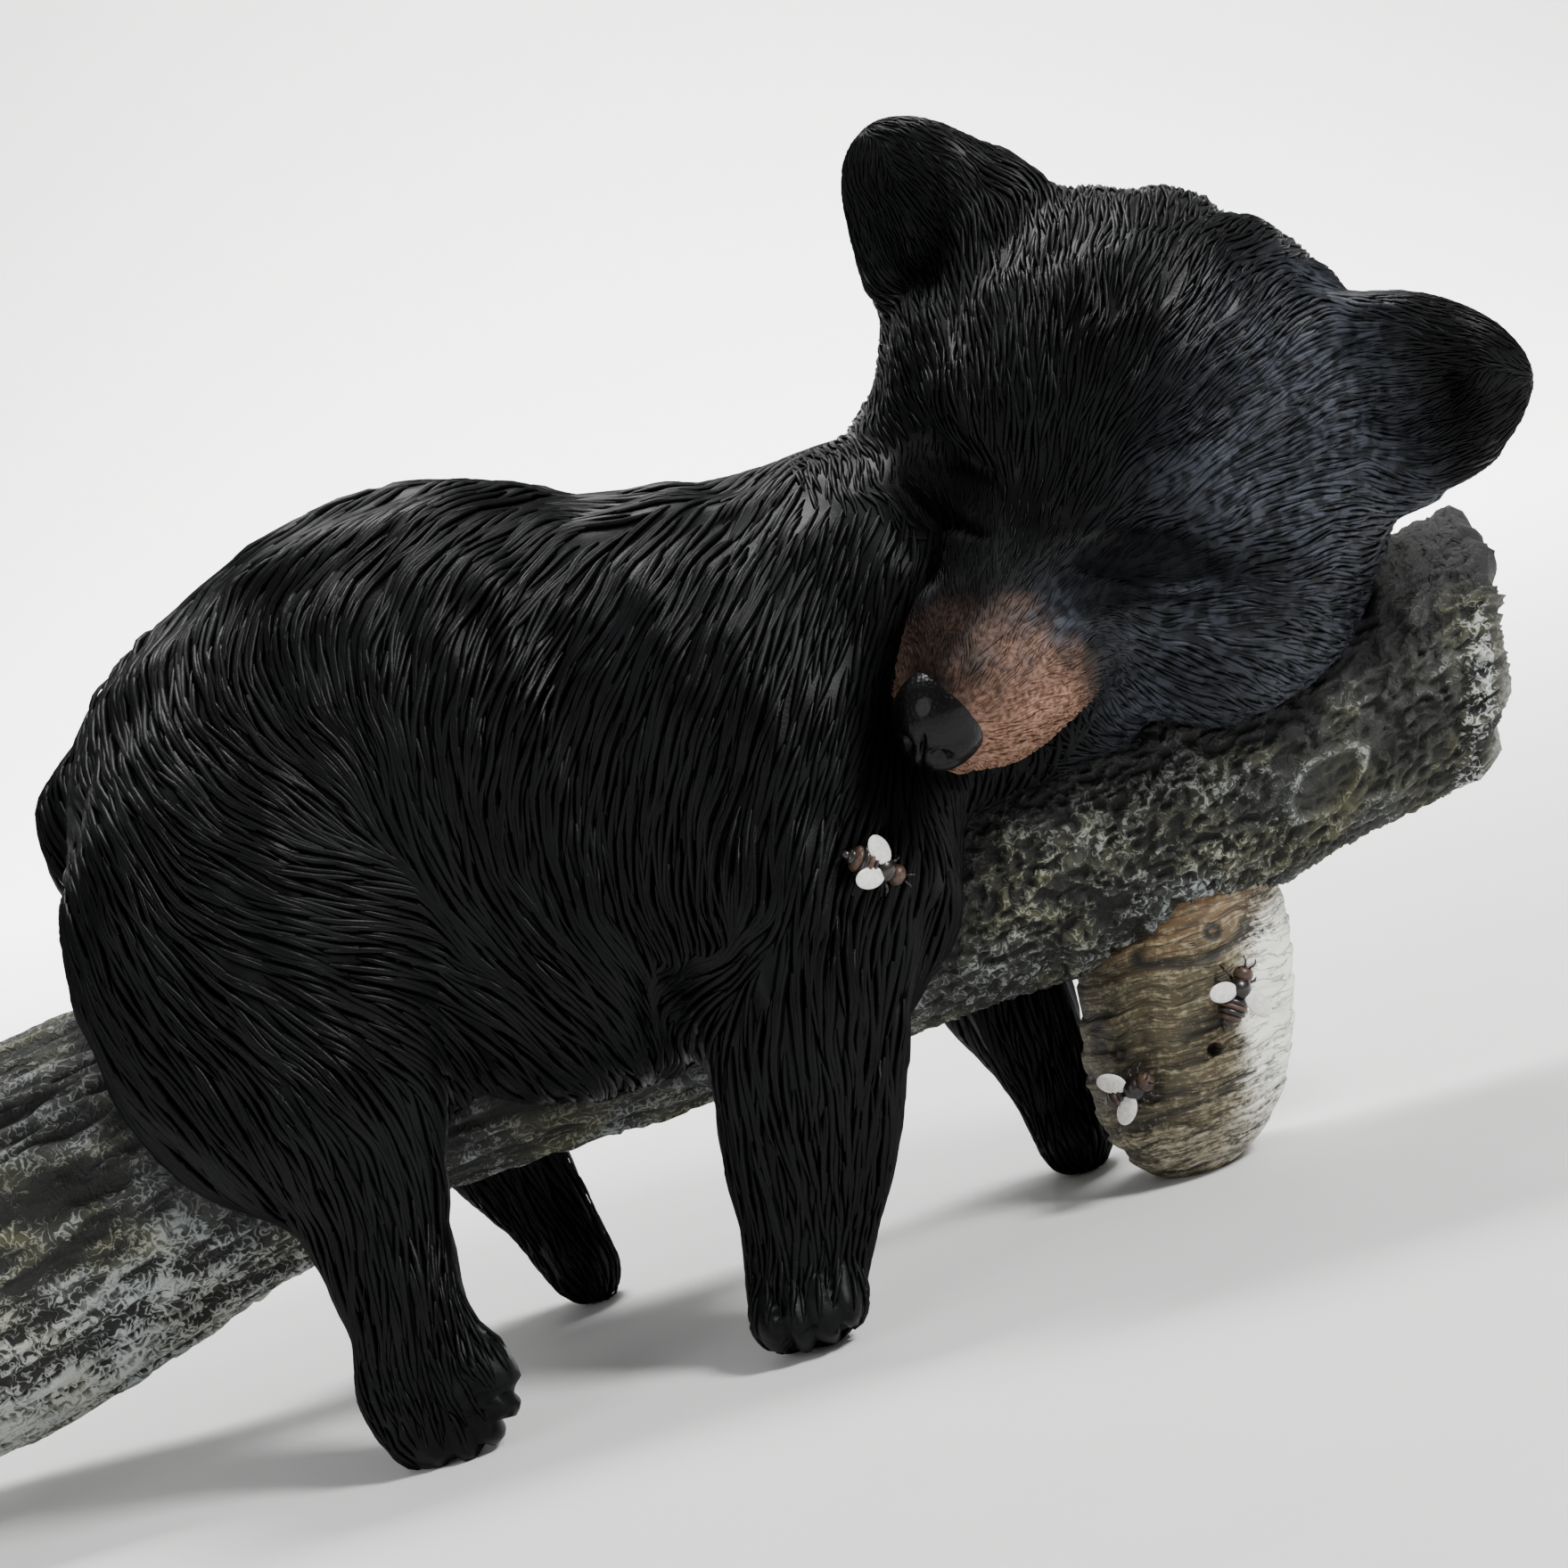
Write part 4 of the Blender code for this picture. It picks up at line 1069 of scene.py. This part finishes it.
# %% Bark paint
def paint_bark():
    """Matt paint with patches of 17 and 5 mm, wrinkles of 2.1 mm and a grain of 0.8 mm. Each part
    of brushed adds to where the pale brush takes, so the eye sees ridges, wrinkles and wear."""
    material, add, place = new_paint("dry_brushed_matt_acrylic_on_cast_bark")
    crest, near_cub_dark, torn, rim, brush = (add("Attribute", out="Fac", attribute_name=name)
                                      for name in ("crest", "overspray", "torn", "rim", "brush"))
    patchy, blotch, fine, worms = (
        add("TexNoise", place, Scale=1 / (size * MM), Detail=detail, Roughness=rough,
            Distortion=bend)
        for size, detail, rough, bend in ((17, 3.0, 0.5, 0.0), (5, 3.0, 0.5, 0.0),
                                          (0.8, 5.0, 0.7, 0.0), (2.1, 2.0, 0.5, 0.8)))
    wrinkle = add("Math ABSOLUTE", add("Math SUBTRACT", worms, 0.5))
    wrinkle = add("MapRange", wrinkle, 0.0, 0.3, 1.0, 0.0)
    wash = add("Mix RGBA", add("MapRange", patchy, 0.48, 0.64), "3a3c37", "4b4a31")
    wood = add("Mix RGBA", add("MapRange", crest, 0.1, 0.7), "10110e", wash)
    brushed = add("Math MULTIPLY", crest, 0.75)
    for part in (add("MapRange", fine, 0.3, 0.7, -0.1, 0.3),
                 add("MapRange", wrinkle, 0.7, 1.0, -0.25, 0.45), brush,
                 add("MapRange", blotch, 0.3, 0.7, -0.25, 0.12), add("Math MULTIPLY", rim, 0.9)):
        brushed = add("Math ADD", brushed, part)
    pale = add("Mix RGBA", add("MapRange", patchy, 0.4, 0.6), "9ca3a3", "9c9d8e")
    pale = add("Mix RGBA", rim, pale, "d3d7d6")
    colour = add("Mix RGBA", add("MapRange", brushed, 0.55, 1.15, 0.0, 0.9), wood, pale)
    splinters = add("Math ADD", crest, add("MapRange", fine, 0.3, 0.7, -0.35, 0.35))
    splinters = add("MapRange", splinters, 0.3, 0.95)
    broken = add("Mix RGBA", splinters, "26241f", "8d8f88")
    colour = add("Mix RGBA", torn, colour, broken)
    # Near black beside the cub and on the top of the broken end.
    colour = add("Mix RGBA", near_cub_dark, colour, "0b0c0d")
    rough = add("MapRange", fine, 0.3, 0.7, 0.62, 0.82)
    return finish_paint(material, colour, rough, add("Math ADD", fine, wrinkle), 0.8, 0.4)


# %% Building the branch
DARKENING_REACH = 15 * MM


def nearness_to_cub(points):
    """How near each point is to the cub, from 1 where they touch to 0 at the reach of the darkening.
    """
    hits = [skin_tree.find_nearest(Vector(point), DARKENING_REACH)[3] for point in points]
    return np.array([0.0 if gap is None else 1.0 - gap / DARKENING_REACH for gap in hits])


def build_branch():
    flat, bark, torn, rows = branch_points()
    mesh = closed_tube("bark", framed(flat), rows, BRANCH_SIDES)
    points = points_of(mesh)
    bark, torn = (np.append(values, (0.3, 0.6)) for values in (bark, torn))
    near = nearness_to_cub(points)
    patchy = 0.5 + 0.5 * lumps(points, 6 * MM, 30)
    along, high = (points[:, 0] - STAND_SHIFT.x) / MM, points[:, 2] / MM
    tip_top = step(118.0, 134.0, along) * step(0.0, 14.0, high - 78.0)
    rim = step(124.0, 131.0, along - TIP_SLANT * (high - 75.0)) \
        + step(-60.0, -110.0, along) * step(48.0, 30.0, high) * 0.5
    barked = step(BRANCH_BUTT + 0.3, BRANCH_BUTT + 2.0, along)
    brush = 0.13 * step(110.0, 70.0, along) \
        + 0.15 * step(-50.0, -100.0, along) * step(52.0, 32.0, high) \
        - 0.22 * step(80.0, 105.0, along)
    worn = 0.55 + 0.45 * patchy
    # Darker near the cub, in patches, and on the top of the broken end next to the cheek.
    near_cub_dark = np.clip(1.5 * near ** 1.5 - 0.5 * patchy, 0.0, 1.0) * 0.95 + 1.2 * tip_top * worn
    rim = np.clip(rim * worn, 0.0, 1.0) * (torn < 0.5) * (1.0 - 0.8 * tip_top) * barked
    for name, values in (("crest", bark), ("brush", barked - 1.0 + barked * brush),
                         ("overspray", near_cub_dark), ("torn", np.clip(torn, 0.0, 1.0)), ("rim", rim)):
        store(mesh, name, values)
    return new_object("bark", mesh, paint_bark())


hand_over(build_branch(), "bark_paint", "branch")

# %% [markdown]
# ## The paper beehive
# The hive looks like the grey paper nests that wasps hang from a branch: a blunt egg of wavy bands
# that overlap like shingles, with a small round door. A lathe would make the bands perfectly level,
# so the rings are lathed here as arrays, and each band's edge wanders round the hive. Its places
# before it leans are kept as an attribute, which the paint's layers follow.

# %% The hive's rings
HIVE_TOP, HIVE_Y, HIVE_WIDTH = 67.5, 3.0, 39.5
HIVE_LEAN, HIVE_FOOT, HIVE_SINK = math.radians(-12.5), 63.5, 1.6
HIVE_BAND, HIVE_RINGS, HIVE_SIDES = 5.6, 180, 170
HIVE_CUT = 6.0                  # the top that is hidden in the branch and left out
DOOR_PIXEL, DOOR_RADIUS = (1362, 1177), 1.1 * MM
SWIRL_PIXELS, SWIRL_RADIUS = ((1255, 1182), (1360, 1045)), 2.3 * MM


def hive_points():
    """Points of the rings, how proud their paper stands, their height as a share, and their places
    before the lean."""
    length = branch_axis(HIVE_TOP)[0] / math.cos(HIVE_LEAN)
    up = np.repeat(np.linspace(0.8, length - HIVE_CUT, HIVE_RINGS), HIVE_SIDES)
    turn = np.tile(np.linspace(0.0, 2 * math.pi, HIVE_SIDES, endpoint=False), HIVE_RINGS)
    egg = HIVE_WIDTH / 2 * np.maximum(0.0, 1.0 - np.abs(2.0 * up / length - 0.98) ** 2.6) ** 0.5
    level = np.stack((egg * np.cos(turn), egg * np.sin(turn), up), axis=1)
    wander = 1.9 * lumps(level * (1.0, 1.0, 0.4), 12.0, 40) + 0.6 * lumps(level, 4.5, 41)
    band = ((up + wander) / HIVE_BAND) % 1.0
    lip = band ** 1.4 * step(1.0, 0.93, band)
    rise = wander[:, None] * (0.0, 0.0, 1.0)
    layers = level * (0.13, 0.13, 1.0) + rise
    fibres = 1.0 - 0.6 * bell(lumps(layers, 2.6, 42), 0, 0.17) \
        - 0.4 * bell(lumps(layers * (1.8, 1.8, 1.0), 1.6, 44), 0, 0.2)
    relief = 0.5 * lip + 0.55 * fibres + 0.3 * lumps(level, 6.0, 43)
    radius = np.maximum(egg + (relief - 0.75) * 1.1 * np.minimum(1.0, egg / 8.0), 0.05)
    place = np.stack((radius * np.cos(turn), radius * np.sin(turn), up), axis=1)
    place[:, 0] += -math.sin(HIVE_LEAN) * up + HIVE_FOOT
    place[:, 1] += HIVE_Y
    place[:, 2] = math.cos(HIVE_LEAN) * up - HIVE_SINK
    return place, np.clip(0.3 * lip + 0.75 * fibres, 0.0, 1.2), up / length, level + rise


# %% Hive paint
def paint_hive():
    """Tan with an ochre top, brushed pale on the crests and nearly white on the right side, a
    painted
    highlight where the lamp falls: patches of 9 mm, crumbs of 1.1 mm, and grain and gaps between the
    paper's layers of 0.55 and 1.7 mm, drawn long round the hive."""
    material, add, place = new_paint("dry_brushed_matt_acrylic_on_cast_hive_paper")
    crest, door, high, brush = (add("Attribute", out="Fac", attribute_name=name)
                                for name in ("crest", "door", "high", "brush"))
    level = add("Attribute", out="Vector", attribute_name="level")
    layers = add("VectorMath MULTIPLY", level, (0.14, 0.14, 1.0))
    patchy, crumbs, grain, gaps = (
        add("TexNoise", where, Scale=1 / (size * MM), Detail=detail, Roughness=rough)
        for where, size, detail, rough in ((place, 9, 3.0, 0.5), (place, 1.1, 5.0, 0.7),
                                           (layers, 0.55, 4.0, 0.65), (layers, 1.7, 3.0, 0.5)))
    gaps = add("Math ABSOLUTE", add("Math SUBTRACT", gaps, 0.5))
    gaps = add("MapRange", gaps, 0.0, 0.035, 1.0, 0.0)
    tan = add("Mix RGBA", add("MapRange", patchy, 0.38, 0.62), "443f2b", "4d4029")
    tan = add("Mix RGBA", add("MapRange", high, 0.6, 0.85), tan, "7f5c38")
    dark = add("Mix RGBA", add("MapRange", crest, 0.25, 0.7), "1e1a11", tan)
    brushed = add("Math MULTIPLY", crest, 0.6)
    for part in (add("MapRange", grain, 0.35, 0.65, -0.35, 0.35),
                 add("MapRange", patchy, 0.3, 0.7, -0.15, 0.15),
                 add("MapRange", crumbs, 0.35, 0.65, -0.3, 0.3), brush):
        brushed = add("Math ADD", brushed, part)
    # The near-white end of the pale is the painted highlight on the hive's right side.
    pale = add("Mix RGBA", add("MapRange", brush, 0.1, 0.6), "9a9175", "f0f0e6")
    colour = add("Mix RGBA", add("MapRange", brushed, 0.35, 1.05), dark, pale)
    colour = add("Mix RGBA", add("Math MULTIPLY", gaps, 0.7), colour, "1c1810")
    # Painted shade: the door's hollow is painted near black.
    colour = add("Mix RGBA", door, colour, "0e0a07")
    relief = add("Math SUBTRACT", add("Math ADD", grain, crumbs), gaps)
    rough = add("MapRange", grain, 0.3, 0.7, 0.5, 0.72)
    return finish_paint(material, colour, rough, relief, 0.6, 0.25)


# %% Building the hive
def build_hive():
    place, crest, high, level = hive_points()
    mesh = closed_tube("hive_paper", framed(place), HIVE_RINGS, HIVE_SIDES)
    points, normals = points_of(mesh), points_of(mesh, "normal")
    tree = tree_of(mesh)
    crest, high = np.append(crest, (0.4, 0.4)), np.append(high, (0.0, 1.0))

    def shares_from(pixel, radius):
        """Distances from where a pixel's ray meets the hive, in radii."""
        middle = np.array(tree.ray_cast(EYE, photo_ray(*pixel))[0])
        return np.linalg.norm(points - middle, axis=1) / radius

    away = shares_from(DOOR_PIXEL, DOOR_RADIUS)
    hole = bell(away, 0, 1, 4)
    move = 0.6 * bell(away, 1.5, 0.5) - 2.2 * hole
    for pixel in SWIRL_PIXELS:
        away = shares_from(pixel, SWIRL_RADIUS)
        fade, swirl = bell(away, 0, 1.1, 4), np.cos(away * 2 * math.pi)
        move += 0.35 * swirl * fade
        crest += (0.5 + 0.5 * swirl - crest) * fade
    points += normals * (move * MM)[:, None]
    points[:, 2] = np.maximum(points[:, 2], 0.0)
    set_points(mesh, points)
    # Painted highlight: the hive's right side, across the camera's view, is made nearly white where
    # the lamp falls, most round its middle; the brush is also paler towards the bottom.
    lit = step(3.5, 15.5, (points - np.array(to_frame((70, 0, 30)))) @ np.array(RIGHT) / MM)
    white = lit * bell(high, 0.44, 0.2)
    brush = 1.25 * white + 0.22 * lit * step(0.9, 0.7, high) + 0.25 * step(0.35, 0.1, high) - 0.08
    level = np.append(level, ((0, 0, 0), (0, 0, 65)), axis=0) * MM
    for name, values in (("crest", crest), ("high", high), ("brush", brush), ("level", level),
                         ("door", hole)):
        store(mesh, name, values)
    return new_object("hive_paper", mesh, paint_hive())


hive = build_hive()
hand_over(hive, "hive_paper_paint", "beehive")

# %% [markdown]
# ## The bees
# Each bee is a few millimetres of resin: a striped abdomen, a round furry thorax, a head with two
# eyes and two feelers, six bent legs and two white wings held out like petals. A bee is modelled
# along +X with its feet at z = 0, and three are set on what carries them, where the CAD bees are,
# each with its wings swept back as far as in the photograph.

# %% A bee
BEE_LENGTH, BEE_DRAWN = 13.0, 10.5     # the real bee, and the one that the numbers below draw
DARK, PALE, WHITE = 0, 1, 2            # slots of BEE_PAINTS


def lathe_ball(bm, slot, centre, half, turn=0.0, tilt=0.0, rings=12):
    place = Matrix.Translation(centre) @ Matrix.Rotation(turn, 4, "Z") \
        @ Matrix.Rotation(tilt, 4, "X") @ Matrix.Diagonal((*half, 1.0))
    made = bmesh.ops.create_uvsphere(bm, u_segments=2 * rings, v_segments=rings, radius=1.0,
                                     matrix=place)
    finish_as(made["verts"], slot)


def finish_as(verts, slot):
    for face in {face for vert in verts for face in vert.link_faces}:
        face.material_index = slot


def thin_rod(bm, start, end, thick, thin):
    """A dark leg or feeler joint: a cone with round ends that stay closed."""
    along = Vector(end) - Vector(start)
    place = Matrix.Translation((Vector(start) + Vector(end)) / 2) \
        @ along.to_track_quat("Z", "Y").to_matrix().to_4x4()
    made = bmesh.ops.create_cone(bm, cap_ends=True, segments=8, radius1=thick, radius2=thin,
                                 depth=along.length, matrix=place)
    finish_as(made["verts"], DARK)
    lathe_ball(bm, DARK, end, (thin, thin, thin), rings=5)


def bee_mesh(name, swept):
    """A bee in millimetres, with slots for its dark body, brown stripes and white wings."""
    bm = bmesh.new()
    for band in range(5):
        share = band / 4
        thick = 2.2 * math.sin(math.pi * (0.28 + 0.60 * share)) ** 0.7
        lathe_ball(bm, PALE if band in (1, 3) else DARK, (-0.9 - 2.9 * share, 0, 1.9 - 0.35 * share),
                   (0.72, thick, thick * 0.9))
    lathe_ball(bm, DARK, (-4.4, 0, 1.3), (0.75, 0.6, 0.6))
    lathe_ball(bm, DARK, (1.0, 0, 1.95), (1.7, 1.75, 1.65))
    lathe_ball(bm, PALE, (3.1, 0, 1.8), (1.2, 1.45, 1.3))
    for side in (-1, 1):
        lathe_ball(bm, DARK, (3.5, 0.85 * side, 1.95), (0.5, 0.42, 0.6), rings=8)
        bend = (4.9, 0.75 * side, 2.9)
        thin_rod(bm, (3.9, 0.3 * side, 2.3), bend, 0.16, 0.13)
        thin_rod(bm, bend, (5.5, 0.95 * side, 2.2), 0.13, 0.1)
        for leg, reach in ((1.9, 1.4), (0.9, 0.2), (0.0, -1.3)):
            knee = (leg + reach * 0.6, 2.2 * side, 1.3)
            thin_rod(bm, (leg, 0.9 * side, 1.1), knee, 0.24, 0.2)
            thin_rod(bm, knee, (leg + reach, 2.9 * side, 0.05), 0.2, 0.13)
        middle = (0.7 - 2.1 * math.sin(swept), (0.9 + 2.1 * math.cos(swept)) * side, 3.3)
        lathe_ball(bm, WHITE, middle, (1.45, 2.3, 0.4), swept * side, 0.15 * side, rings=14)
    return mesh_from(bm, name)


# %% Painting and seating the bees
def paint_bee(name, first, second, roughness, coat):
    """Enamel in two near shades, in spots of 0.7 mm that the brush left."""
    material, add, place = new_paint(name)
    spots = add("TexNoise", place, Scale=1 / (0.7 * MM), Detail=3.0)
    colour = add("Mix RGBA", add("MapRange", spots, 0.35, 0.65), first, second)
    return finish_paint(material, colour, roughness, spots, 0.4, 0.12, Coat_Weight=coat)


BEE_PAINTS = (paint_bee("gloss_umber_enamel_on_bee", "0d0a08", "1c130e", 0.35, 0.2),
              paint_bee("dry_brushed_brown_enamel_on_bee", "2a1b13", "4f3829", 0.5, 0.1),
              paint_bee("gloss_white_enamel_on_wings", "e9e8e2", "cfcdc6", 0.35, 0.3))
hive_tree = tree_of(hive.data)
BEES = (("bee_on_foreleg", skin_tree, (0.8, 0.0, -0.6), 1.05),
        ("bee_high_on_hive", hive_tree, (0.6, 0.0, 0.8), 0.45),
        ("bee_low_on_hive", hive_tree, (0.9, 0.0, 0.2), 0.95))
SEAT_REACH, SEAT_LIFT = 5 * MM, 0.4     # the lift in millimetres


def seat_bee(node, carrier, heading, swept):
    """A bee on the carrier's skin, under the middle of its CAD node, turned to its heading."""
    low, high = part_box(node)
    place = carrier.find_nearest((low + high) / 2)[0]
    facing = [found[1] for found in carrier.find_nearest_range(place, SEAT_REACH)]
    normal = sum(facing, Vector()).normalized()
    place = place + normal * SEAT_LIFT * MM
    heading = STAND @ Vector(heading)
    forward = (heading - normal * heading.dot(normal)).normalized()
    turn = Matrix((forward, normal.cross(forward), normal)).transposed().to_4x4()
    mesh = bee_mesh(node + "_dressed", swept)
    mesh.transform(Matrix.Translation(place) @ turn @ Matrix.Scale(MM * BEE_LENGTH / BEE_DRAWN, 4))
    return new_object(node + "_dressed", mesh, *BEE_PAINTS)


for node, carrier, heading, swept in BEES:
    hand_over(seat_bee(node, carrier, heading, swept), "bee_paint", node)

# %% [markdown]
# ## The stage
# A plain pale sweep runs from the floor up behind the statue in one curve, so no edge shows behind
# it. The light is that of a studio: a soft lamp high on the right, as in the photograph, where the
# right side of the head is the brightest, a weaker one on the left that gives no glints, one over
# the backdrop, and pale light from all round.

# %% Floor and light
SWEEP_NEAR, SWEEP_BACK, SWEEP_BEND, SWEEP_TOP, SWEEP_HALF = -12.0, 1.9, 1.0, 12.0, 25.0


def build_sweep():
    bm = bmesh.new()
    bend = [(SWEEP_BACK + SWEEP_BEND * math.sin(a), SWEEP_BEND * (1 - math.cos(a)))
            for a in np.linspace(0.0, math.pi / 2, 40)]
    profile = [(SWEEP_NEAR, 0.0), *bend, (SWEEP_BACK + SWEEP_BEND, SWEEP_TOP)]
    rows = [[bm.verts.new((x, y, z)) for x in (-SWEEP_HALF, SWEEP_HALF)] for y, z in profile]
    for low, high in zip(rows, rows[1:]):
        bm.faces.new((low[0], low[1], high[1], high[0]))
    return mesh_from(bm, "sweep")


def paint_sweep():
    """White paper with the faintest clouds, quite matt."""
    material, add, place = new_paint("matt_white_backdrop_paper")
    clouds = add("TexNoise", place, Scale=40.0, Detail=2.0)
    return finish_paint(material, add("Mix RGBA", clouds, "e8e8e6", "ededec"), 0.9)


def hang_lamp(name, place, size, power, aim=VIEW_TARGET, spread=180, glint=1.0):
    light = bpy.data.lights.new(name, "AREA")
    light.shape, light.size, light.energy, light.spread = "DISK", size, power, math.radians(spread)
    light.specular_factor = glint
    lamp = bpy.data.objects.new(name, light)
    bpy.context.scene.collection.objects.link(lamp)
    lamp.location = place
    lamp.rotation_euler = (Vector(aim) - Vector(place)).to_track_quat("-Z", "Y").to_euler()


new_object("sweep", build_sweep(), paint_sweep())
world = bpy.data.worlds.new("pale_room")
bpy.context.scene.world = world
world.use_nodes = True
feed(world.node_tree.nodes["Background"], "f4f6f8", 0.33)
hang_lamp("key", (0.75, -0.55, 0.85), 0.3, 18.0)
hang_lamp("fill", (-0.9, -0.8, 0.5), 0.8, 4.0, glint=0.0)
hang_lamp("backdrop_wash", (0.0, 1.5, 2.8), 1.8, 130.0, (0.0, 1.8, 0.0), 75, glint=0.3)
print("lamps:", [light.name for light in bpy.data.lights])
